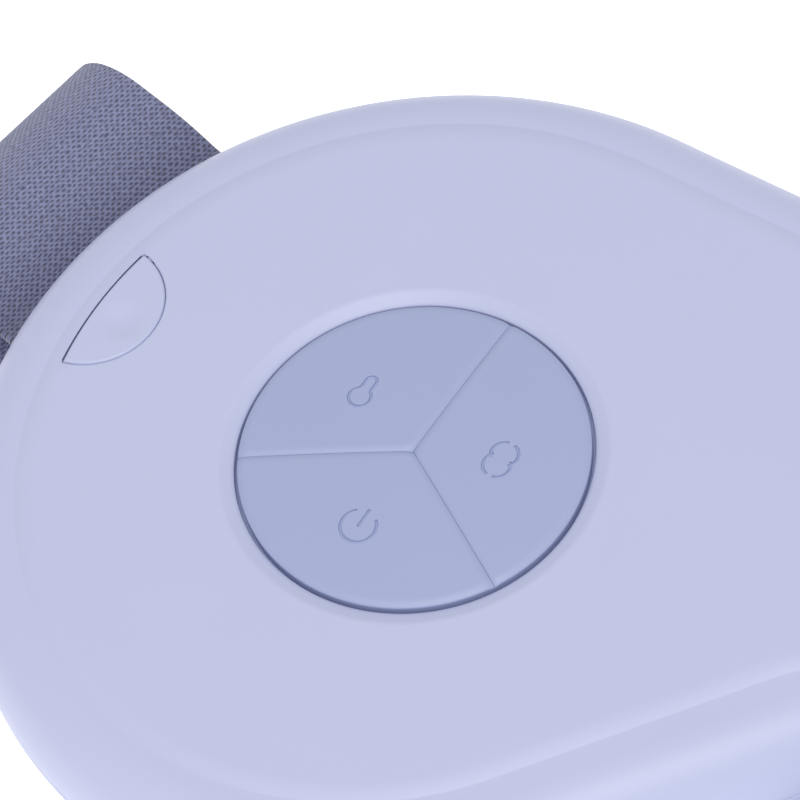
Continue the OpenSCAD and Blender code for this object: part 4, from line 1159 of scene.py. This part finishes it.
def make_strap(name, s, b, lift, mirrored):
    """Ribbon of webbing with round selvedges and a shallow cord relief, and its length in the UV map"""
    path = list(BeltPath(s, b).stations(lift))
    section = strap_section(b)
    outward = np.array([-math.cos(b.angle), math.sin(b.angle), 0])
    rings, lengths, total = [], [], 0.0
    for i, (centre, wide, normal) in enumerate(path):
        if i:
            total += float(np.linalg.norm(centre - path[i - 1][0]))
        begun = smooth_step((total - LEAN_START[0]) / LEAN_START[1])
        left = smooth_step((LEAN_END[0] - total) / LEAN_END[1])
        lean = b.skew * begun * left * (section[:, :1] - b.width / 2) * outward
        ring = centre + section[:, :1] * wide + section[:, 1:2] * normal + lean
        rings.append(ring * [-1, 1, 1] if mirrored else ring)
        lengths.append(total)
    if not mirrored:
        rings = [r[::-1] for r in rings]
        section = section[::-1]
    strap = loft(name, rings)
    n = len(section)
    layer = strap.data.uv_layers.new(name="cloth")
    for polygon in strap.data.polygons:
        if len(polygon.vertices) != 4:
            continue
        for loop in polygon.loop_indices:
            vertex = strap.data.loops[loop].vertex_index
            layer.data[loop].uv = (section[vertex % n, 2], lengths[vertex // n])
    strap.data.shade_smooth()
    return strap, total


def make_patch(name, s, b, low):
    """Rectangle of hook or loop tape with rounded corners, curved along the overlap"""
    path = BeltPath(s, b)
    corner_x, corner_y = b.width / 2 - PATCH_IN - PATCH_CORNER, b.overlap / 2 - PATCH_CORNER
    corners = []
    for sx, sy, deg in ((1, 1, 0), (-1, 1, 90), (-1, -1, 180), (1, -1, 270)):
        spot = (sx * corner_x, sy * corner_y)
        corners.append(arc(spot, PATCH_CORNER, math.radians(deg), math.radians(deg + 90), count=6))
    loop = []
    for i, count in enumerate((12, 24, 12, 24)):
        loop += [corners[i], np.linspace(corners[i][-1], corners[(i + 1) % 4][0], count)[1:-1]]
    loop = np.concatenate(loop)
    reach = path.run_r + loop[:, 0]
    a = 1.5 * math.pi + loop[:, 1] / path.run_r
    plan = np.stack([reach * np.cos(a), path.run_y + reach * np.sin(a)], axis=1)
    area = 0.5 * np.sum(plan[:, 0] * np.roll(plan[:, 1], -1) - np.roll(plan[:, 0], -1) * plan[:, 1])
    plan = plan if area > 0 else plan[::-1]
    return loft(name, [at_height(plan, low), at_height(plan, low + b.patch_t)])


# Soft face and foams: the face's inset and rolled edge, the sewn line and its stitches, the film's pocket
FACE_INSET = 9.4 * MM
FACE_SEAT = 0.1 * MM
FACE_EDGE_W = 1.25 * MM
FACE_EDGE_TOP = 0.35 * MM
SEWN_IN = 3 * MM
SEWN_UP = 0.5 * MM
STITCH = {"Pitch": 2.6 * MM, "Length": 2.2 * MM, "Thread": 0.45 * MM}
POCKET_IN = 5.8 * MM
FOAM_ROUND = 0.25 * MM
# Underside of the face in mm, from its rolled edge over the sewn groove to its crowned middle: inset, height
FACE_PROFILE = ((1.9, 0.02), (2.5, 0.14), (2.85, 0.46), (3.0, 0.62), (3.15, 0.46), (3.5, 0.14), (4.2, 0.0),
                (6, -0.1), (9, -0.15), (13, -0.18), (18, -0.19), (24, -0.19), (30, -0.19))


def make_heating_face(s):
    """Cushioned fabric face: rolled edge, a sewn line near the edge and a slightly crowned middle"""
    drop = SHELL_Z - FACE_Z - FACE_EDGE_TOP - FACE_SEAT
    rings = [(FACE_INSET + FACE_SEAT, SHELL_Z)]
    rings += [(FACE_INSET + FACE_EDGE_W * (1 - math.cos(a)), SHELL_Z - FACE_EDGE_TOP - drop * math.sin(a))
              for a in np.linspace(0, math.pi / 2, 8)]
    rings += [(FACE_INSET + inset * MM, FACE_Z + up * MM) for inset, up in FACE_PROFILE]
    face = skin_solid("heating_face_fabric", s, rings[::-1])
    pocket = [(FACE_INSET + POCKET_IN, z) for z in (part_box("heating_film")[0].z, SHELL_Z + MM)]
    combine(face, [skin_solid("film_pocket", s, pocket)], "DIFFERENCE")
    face.data.shade_smooth()
    return face


def merged(mesh):
    """Work mesh of a CAD node with its doubles merged"""
    work = bmesh.new()
    work.from_mesh(mesh)
    bmesh.ops.remove_doubles(work, verts=work.verts, dist=0.002 * MM)
    return work


def softened_copy(name, node, radius):
    """Copy of a CAD node with its doubles merged and its edges rounded"""
    copy = link_object(name, [], [], [])
    work = merged(frame["nodes"][node].data)
    bmesh.ops.dissolve_limit(work, angle_limit=math.radians(1), verts=work.verts, edges=work.edges)
    work.to_mesh(copy.data)
    work.free()
    modifier = copy.modifiers.new("edge rounding", "BEVEL")
    modifier.width = radius
    modifier.segments = 2
    modifier.angle_limit = math.radians(40)
    return soften(bake(copy), sharp_deg=40)


# Geometry Nodes
def node_tree(name, sockets):
    """Geometry Nodes tree with named inputs and one geometry output"""
    tree = bpy.data.node_groups.new(name, "GeometryNodeTree")
    for label, kind in {"Geometry": "Geometry", **sockets}.items():
        tree.interface.new_socket(label, in_out="INPUT", socket_type="NodeSocket" + kind)
    tree.interface.new_socket("Geometry", in_out="OUTPUT", socket_type="NodeSocketGeometry")
    result = tree.nodes.new("NodeGroupOutput").inputs["Geometry"]
    return tree, tree.nodes.new("NodeGroupInput").outputs, result


def run_tree(obj, tree, values):
    """Runs a tree on an object with its inputs' values, and keeps the result as a plain mesh"""
    modifier = obj.modifiers.new(tree.name, "NODES")
    modifier.node_group = tree
    for item in tree.interface.items_tree:
        if item.item_type == "SOCKET" and item.in_out == "INPUT" and item.name in values:
            modifier[item.identifier] = values[item.name]
    bake(obj)
    if len(obj.data.polygons) == 0:
        raise RuntimeError(f"{obj.name}: {tree.name} made nothing")
    return obj


def stitch_tree():
    """Short round stitches laid along the object's edges"""
    tree, given, result = node_tree("stitches", {"Pitch": "Float", "Length": "Float", "Thread": "Float",
                                                 "Material": "Material"})
    path = add(tree, "GeometryNodeMeshToCurve", Mesh=given["Geometry"])
    points = add(tree, "GeometryNodeCurveToPoints", {"mode": "LENGTH"}, Curve=path.outputs["Curve"],
                 Length=given["Pitch"])
    ball = add(tree, "GeometryNodeMeshUVSphere", {"Segments": 8, "Rings": 6, "Radius": 0.5})
    scale = add(tree, "ShaderNodeCombineXYZ", X=given["Thread"], Y=given["Thread"], Z=given["Length"])
    along = add(tree, "FunctionNodeAlignRotationToVector", {"axis": "Z"}, Vector=points.outputs["Tangent"])
    placed = add(tree, "GeometryNodeInstanceOnPoints", Points=points.outputs["Points"],
                 Instance=ball.outputs["Mesh"], Rotation=along.outputs["Rotation"],
                 Scale=scale.outputs["Vector"])
    real = add(tree, "GeometryNodeRealizeInstances", Geometry=placed.outputs["Instances"])
    smooth = add(tree, "GeometryNodeSetShadeSmooth", Geometry=real.outputs["Geometry"])
    add(tree, "GeometryNodeSetMaterial", Geometry=smooth.outputs["Geometry"], Material=given["Material"],
        to=result)
    return tree


def screw_tree():
    """A screw on each of the object's points, each turned by its own chance angle"""
    tree, given, result = node_tree("screws", {"Screw": "Object", "Material": "Material"})
    screw = add(tree, "GeometryNodeObjectInfo", {"transform_space": "ORIGINAL"}, Object=given["Screw"])
    spin = add(tree, "FunctionNodeRandomValue", {"data_type": "FLOAT_VECTOR", "Seed": 3, 0: (0, 0, 0),
                                                 1: (0, 0, math.pi / 2)})
    placed = add(tree, "GeometryNodeInstanceOnPoints", Points=given["Geometry"],
                 Instance=screw.outputs["Geometry"], Rotation=spin.outputs["Value"])
    real = add(tree, "GeometryNodeRealizeInstances", Geometry=placed.outputs["Instances"])
    add(tree, "GeometryNodeSetMaterial", Geometry=real.outputs["Geometry"], Material=given["Material"],
        to=result)
    return tree


def node_islands(node):
    """Lowest corner, highest corner and points of each separate body of a CAD node"""
    work = merged(frame["nodes"][node].data)
    left, boxes = set(work.verts), []
    while left:
        group, front = [], [left.pop()]
        while front:
            vertex = front.pop()
            group.append(vertex.co.copy())
            for edge in vertex.link_edges:
                other = edge.other_vert(vertex)
                if other in left:
                    left.remove(other)
                    front.append(other)
        low = Vector([min(p[i] for p in group) for i in range(3)])
        high = Vector([max(p[i] for p in group) for i in range(3)])
        boxes.append((low, high, group))
    work.free()
    return sorted(boxes, key=lambda b: (round(b[0].x, 5), round(b[0].y, 5)))


# Screws: the tip's radii in shares of the shank's and heights in mm; the thread's start, the room left for
# it, its least turns, their spacing, and each turn's section in shares of the shank's radius and of a step
TIP = ((0.3, 0), (0.75, 0.3))
THREAD_START = 0.4 * MM
THREAD_ROOM = 0.5 * MM
THREAD_LEAST = 3
THREAD_PITCH = 0.8 * MM
THREAD = ((0.8, 0), (0.99, 0.4), (0.99, 0.5), (0.8, 0.9))
# Neck in shares of the shank's radius; rounding under the head's edge, its crown's height, and the cross
# recess's half length, half width and depth, in shares of the head's unless in mm
NECK = 0.85
HEAD_EDGE_R = 0.985
HEAD_EDGE_H = 0.08 * MM
HEAD_CROWN = 0.35
RECESS = (0.55, 0.14, 0.7)


def make_screw(length, shank, reach, head_h):
    """One screw with its head's top at the origin: threaded shank, crowned head and cross recess"""
    profile = [(shank * share, -length + up * MM) for share, up in TIP]
    turns = max(THREAD_LEAST, int((length - head_h) / THREAD_PITCH))
    step = (length - head_h - THREAD_ROOM) / turns
    for i in range(turns):
        z = -length + THREAD_START + step * i
        profile += [(shank * share, z + step * up) for share, up in THREAD]
    profile += [(shank * NECK, -head_h), (reach * HEAD_EDGE_R, -head_h), (reach, -head_h + HEAD_EDGE_H)]
    crown_h = head_h * HEAD_CROWN
    profile += [(reach * math.cos(a), crown_h * (math.sin(a) - 1)) for a in np.radians([0, 30, 55, 75, 88])]
    screw = turned("screw", profile, (0, 0), 24)
    arm, wide, deep = reach * RECESS[0], reach * RECESS[1], head_h * RECESS[2]
    for x, y in ((arm, wide), (wide, arm)):
        combine(screw, [block("recess", (-x, -y, -deep), (x, y, head_h))], "DIFFERENCE")
    return screw


def make_screws(name, node, head_h, head_down, material):
    """All screws of one CAD node, in the sizes of its first one"""
    boxes = node_islands(node)
    low, high, group = boxes[0]
    centre = (low + high) / 2
    reach = max(math.hypot(p.x - centre.x, p.y - centre.y) for p in group)
    tip = [p for p in group if abs(p.z - (high.z if head_down else low.z)) < 0.01 * MM]
    shank = max(math.hypot(p.x - centre.x, p.y - centre.y) for p in tip)
    screw = make_screw(high.z - low.z, shank, reach, head_h)
    if head_down:
        screw.data.transform(Matrix.Rotation(math.pi, 4, "X"))
    soften(screw, sharp_deg=35)
    spots = [((l.x + h.x) / 2, (l.y + h.y) / 2, l.z if head_down else h.z) for l, h, _ in boxes]
    screws = run_tree(link_object(name, spots, [], []), screw_tree(), {"Screw": screw, "Material": material})
    bpy.data.objects.remove(screw)
    return screws


def inner_parts():
    """Materials of the inner parts that keep their CAD shape, each with the nodes made of it"""
    clear = moulded("translucent silicone rubber", "#D9DAE4", roughness=0.45, grain_mm=0.4,
                    Subsurface_Weight=0.2, Subsurface_Scale=0.8 * MM)
    return (
        (clear, ["keypad_membrane"]),
        (moulded("dark silicone rubber", "#33353F", roughness=0.55, grain_mm=0.4), ["motor_sleeves"]),
        (moulded("white ABS", "#E9EAEE", roughness=0.4), ["key_retainer", "indicator_leds"]),
        (moulded("black nylon", "#26272B", roughness=0.45),
         ["power_plunger", "heat_plunger", "massage_plunger", "tact_switches", "board_components",
          "socket_contacts", "thermistor"]),
        (solder_mask("green solder mask", "#1F5C3A"), ["main_board", "socket_board"]),
        (brushed("nickel-plated steel", "#B9BCC0", roughness=0.28),
         ["charging_socket", "left_motor", "right_motor", "left_motor_shaft", "right_motor_shaft",
          "strap_bars"]),
        (brushed("sintered tungsten", "#8C8C8F", roughness=0.42), ["left_weight", "right_weight"]),
        (crinkled_foil("laminated pouch foil", "#B7BAC2"), ["battery"]),
        (etched_film("polyimide heating film", "#C98A3A", "#8A4A22"), ["heating_film"]),
    )


# Operators
def housing_abs(scene):
    """The soft-touch ABS that the covers and the port cover share"""
    return bpy.data.materials.get("soft-touch ABS") or soft_touch_abs("soft-touch ABS",
                                                                      tuple(scene.pad_colours.housing))


class PAD_OT_front(bpy.types.Operator):
    """Front cover with its rim, crease, dished ring and openings"""
    bl_idname = "pad.front_cover"
    bl_label = "Front cover"

    def execute(self, context):
        scene = context.scene
        cover = soften(make_front_cover(scene.pad_housing, scene.pad_keys, scene.pad_belt))
        finish_piece(cover, "front_shell", PAD, housing_abs(scene), "housing", "front_cover")
        return {"FINISHED"}


class PAD_OT_back(bpy.types.Operator):
    """Back cover with its lip, bosses and bar posts"""
    bl_idname = "pad.back_cover"
    bl_label = "Back cover"

    def execute(self, context):
        scene = context.scene
        cover = soften(make_back_cover(scene.pad_housing, scene.pad_belt))
        finish_piece(cover, "back_shell", PAD, housing_abs(scene), "housing", "back_cover")
        return {"FINISHED"}


class PAD_OT_keys(bpy.types.Operator):
    """Three crowned keys with their engraved icons"""
    bl_idname = "pad.keys"
    bl_label = "Keys"

    def execute(self, context):
        scene = context.scene
        material = soft_touch_abs("soft-touch ABS of the keys", tuple(scene.pad_colours.keys))
        for kind in KEY_MIDS:
            key = soften(make_key(scene.pad_housing, scene.pad_keys, kind))
            finish_piece(key, kind + "_button", kind + "_key", material, "keys", "key_" + kind)
        return {"FINISHED"}


class PAD_OT_port(bpy.types.Operator):
    """Half-round cover of the charging port"""
    bl_idname = "pad.port_cover"
    bl_label = "Port cover"

    def execute(self, context):
        scene = context.scene
        flap = soften(make_port_cover(scene.pad_housing))
        finish_piece(flap, "port_flap_shell", "port_flap", housing_abs(scene), "housing", "port_cover")
        return {"FINISHED"}


class PAD_OT_belt(bpy.types.Operator):
    """Two halves of the elastic belt with their hook and loop patches"""
    bl_idname = "pad.belt"
    bl_label = "Belt"

    def execute(self, context):
        s, b, c = context.scene.pad_housing, context.scene.pad_belt, context.scene.pad_colours
        woven = woven_elastic("woven elastic webbing", tuple(c.belt), tuple(c.belt_gap_shade), b.cord_pitch,
                              b.pick_pitch)
        loops = pile_fabric("loop pile tape", linear("#83869F"), pile_mm=0.5)
        hooks = pile_fabric("hook tape", linear("#6A6C8C"), pile_mm=0.5)
        lift = b.thickness + 2 * b.patch_t
        for side, rise, under, kind, tape, slot in (("left", 0, 0, "loop", loops, "webbing"),
                                                    ("right", lift, b.patch_t, "hook", hooks, "hook_tape")):
            strap, length = make_strap(side + "_webbing", s, b, rise, side == "right")
            finish_piece(strap, side + "_webbing", PAD, woven, "webbing", side + "_strap")
            patch = make_patch(kind + "_tape_patch", s, b, b.thickness + under)
            finish_piece(patch, kind + "_tape_patch", PAD, tape, slot, kind + "_patch")
        return {"FINISHED"}


class PAD_OT_face(bpy.types.Operator):
    """Soft heating face with its sewn line, and the foams inside"""
    bl_idname = "pad.soft_pieces"
    bl_label = "Soft pieces"

    def execute(self, context):
        s, c = context.scene.pad_housing, context.scene.pad_colours
        fabric = pile_fabric("short-pile fabric", tuple(c.face), pile_mm=0.35)
        face = make_heating_face(s)
        finish_piece(face, "heating_face_fabric", PAD, fabric, "heating_fabric", "heating_face")
        thread = moulded("polyester thread", "#8487A6", roughness=0.6, grain_mm=0.2)
        line = at_height(outline(s, FACE_INSET + SEWN_IN), FACE_Z + SEWN_UP)
        seam = link_object("face_stitches", line, [(i, (i + 1) % len(line)) for i in range(len(line))], [])
        stitches = run_tree(seam, stitch_tree(), {**STITCH, "Material": thread})
        finish_piece(stitches, "face_stitches", PAD, thread, "heating_fabric")
        foam = cell_foam("closed-cell foam", "#DFE1E6")
        for name, node in (("insulation_sheet", "insulation_foam"), ("battery_tape", "battery_foam_tape")):
            piece = softened_copy(name, node, FOAM_ROUND)
            finish_piece(piece, name, PAD, foam, "foam", node)
        return {"FINISHED"}


class PAD_OT_screws(bpy.types.Operator):
    """All screws, with cross recesses and threads"""
    bl_idname = "pad.screws"
    bl_label = "Screws"

    def execute(self, context):
        steel = brushed("zinc-plated screw steel", "#A9ACB2", roughness=0.32)
        for node, head_h, head_down in (("shell_screws", 1.6, True), ("retainer_screws", 0.8, True),
                                        ("board_screws", 1.0, False), ("socket_board_screws", 0.8, False)):
            name = node.replace("screws", "screw_set")
            screws = make_screws(name, node, head_h * MM, head_down, steel)
            finish_piece(screws, name, PAD, steel, "steel", node)
        return {"FINISHED"}


class PAD_OT_inner(bpy.types.Operator):
    """Materials of the inner parts that keep their CAD shape"""
    bl_idname = "pad.inner_parts"
    bl_label = "Inner parts"

    def execute(self, context):
        for material, nodes in inner_parts():
            for node in nodes:
                mesh = frame["nodes"][node].data
                mesh.materials.clear()
                mesh.materials.append(material)
        return {"FINISHED"}


# Stage: the floor's reach, drop and own light, the soft box, and the camera solved from the ring round the
# keys, with its place in radii of that ring
FLOOR_HALF = 3
FLOOR_DROP = 0.01 * MM
FLOOR_GLOW = 0.55
SKY = 0.48
BOX_SIZE = 1.2
BOX_ENERGY = 17
BOX_AWAY = 1.6
BOX_AZIMUTH = math.radians(-44.5)
BOX_HEIGHT = math.radians(70)
RING_R = 22 * MM
RING_Z = 24.9 * MM
CAMERA_LENS = 225
CAMERA_SENSOR = 36
CAMERA_AXES = ((0.8262, 0.5489, -0.1271), (-0.4029, 0.7333, 0.5476), (0.3937, -0.4012, 0.827))
CAMERA_FROM_RING = (10.60, -10.81, 22.82)
WHITE = (1, 1, 1, 1)


def place_in_scene(scene, data, matrix):
    """Object of a light or a camera, at its place"""
    obj = bpy.data.objects.new(data.name, data)
    scene.collection.objects.link(obj)
    obj.matrix_world = matrix
    return obj


class PAD_OT_stage(bpy.types.Operator):
    """Pale floor, soft studio light and the photograph's camera"""
    bl_idname = "pad.stage"
    bl_label = "Stage"

    def execute(self, context):
        scene = context.scene
        corners = [(x * FLOOR_HALF, y * FLOOR_HALF, 0) for x, y in ((-1, -1), (1, -1), (1, 1), (-1, 1))]
        floor = link_object("floor", corners, [], [range(4)])
        floor.location.z = -FLOOR_DROP
        paper, _, _ = surface("studio paper", tuple(scene.pad_colours.floor), roughness=0.9,
                              Emission_Color=WHITE, Emission_Strength=FLOOR_GLOW)
        floor.data.materials.append(paper)
        scene.world = scene.world or bpy.data.worlds.new("studio")
        scene.world.use_nodes = True
        sky = scene.world.node_tree.nodes["Background"].inputs
        sky["Color"].default_value = WHITE
        sky["Strength"].default_value = SKY
        light = bpy.data.lights.new("soft box", "AREA")
        light.shape = "DISK"
        light.size = BOX_SIZE
        light.energy = BOX_ENERGY
        aim = Vector((*disc_centre(scene.pad_housing), TOP_Z))
        level = math.cos(BOX_HEIGHT)
        way = Vector((level * math.cos(BOX_AZIMUTH), level * math.sin(BOX_AZIMUTH), math.sin(BOX_HEIGHT)))
        facing = way.to_track_quat("Z", "Y").to_matrix().to_4x4()
        place_in_scene(scene, light, Matrix.Translation(aim + way * BOX_AWAY) @ facing)
        camera = bpy.data.cameras.new("photo camera")
        camera.lens = CAMERA_LENS
        camera.sensor_width = CAMERA_SENSOR
        camera.clip_start = 10 * MM
        place = Vector((*disc_centre(scene.pad_housing), RING_Z)) + RING_R * Vector(CAMERA_FROM_RING)
        axes = Matrix(CAMERA_AXES).transposed().to_4x4()
        scene.camera = place_in_scene(scene, camera, Matrix.Translation(place) @ axes)
        scene.view_settings.view_transform = "Standard"
        return {"FINISHED"}


class PAD_PT_panel(bpy.types.Panel):
    """Lists the operators in the 3D view's sidebar"""
    bl_label = "Heating pad"
    bl_idname = "PAD_PT_panel"
    bl_space_type = "VIEW_3D"
    bl_region_type = "UI"
    bl_category = "Heating Pad"

    def draw(self, context):
        for operator in OPERATORS:
            self.layout.operator(operator.bl_idname)


GROUPS = {"pad_housing": HousingSizes, "pad_keys": KeySizes, "pad_belt": BeltSizes,
          "pad_colours": PadColours}
OPERATORS = (PAD_OT_front, PAD_OT_back, PAD_OT_keys, PAD_OT_port, PAD_OT_belt, PAD_OT_face, PAD_OT_screws,
             PAD_OT_inner, PAD_OT_stage)


def register():
    for group in GROUPS.values():
        bpy.utils.register_class(group)
    for name, group in GROUPS.items():
        setattr(bpy.types.Scene, name, bpy.props.PointerProperty(type=group))
    for made in OPERATORS + (PAD_PT_panel,):
        bpy.utils.register_class(made)


def unregister():
    for made in reversed(OPERATORS + (PAD_PT_panel,)):
        bpy.utils.unregister_class(made)
    for name, group in GROUPS.items():
        delattr(bpy.types.Scene, name)
        bpy.utils.unregister_class(group)


def main():
    register()
    for operator in OPERATORS:
        area, verb = operator.bl_idname.split(".")
        getattr(getattr(bpy.ops, area), verb)()
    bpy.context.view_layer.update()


if __name__ == "__main__":
    main()
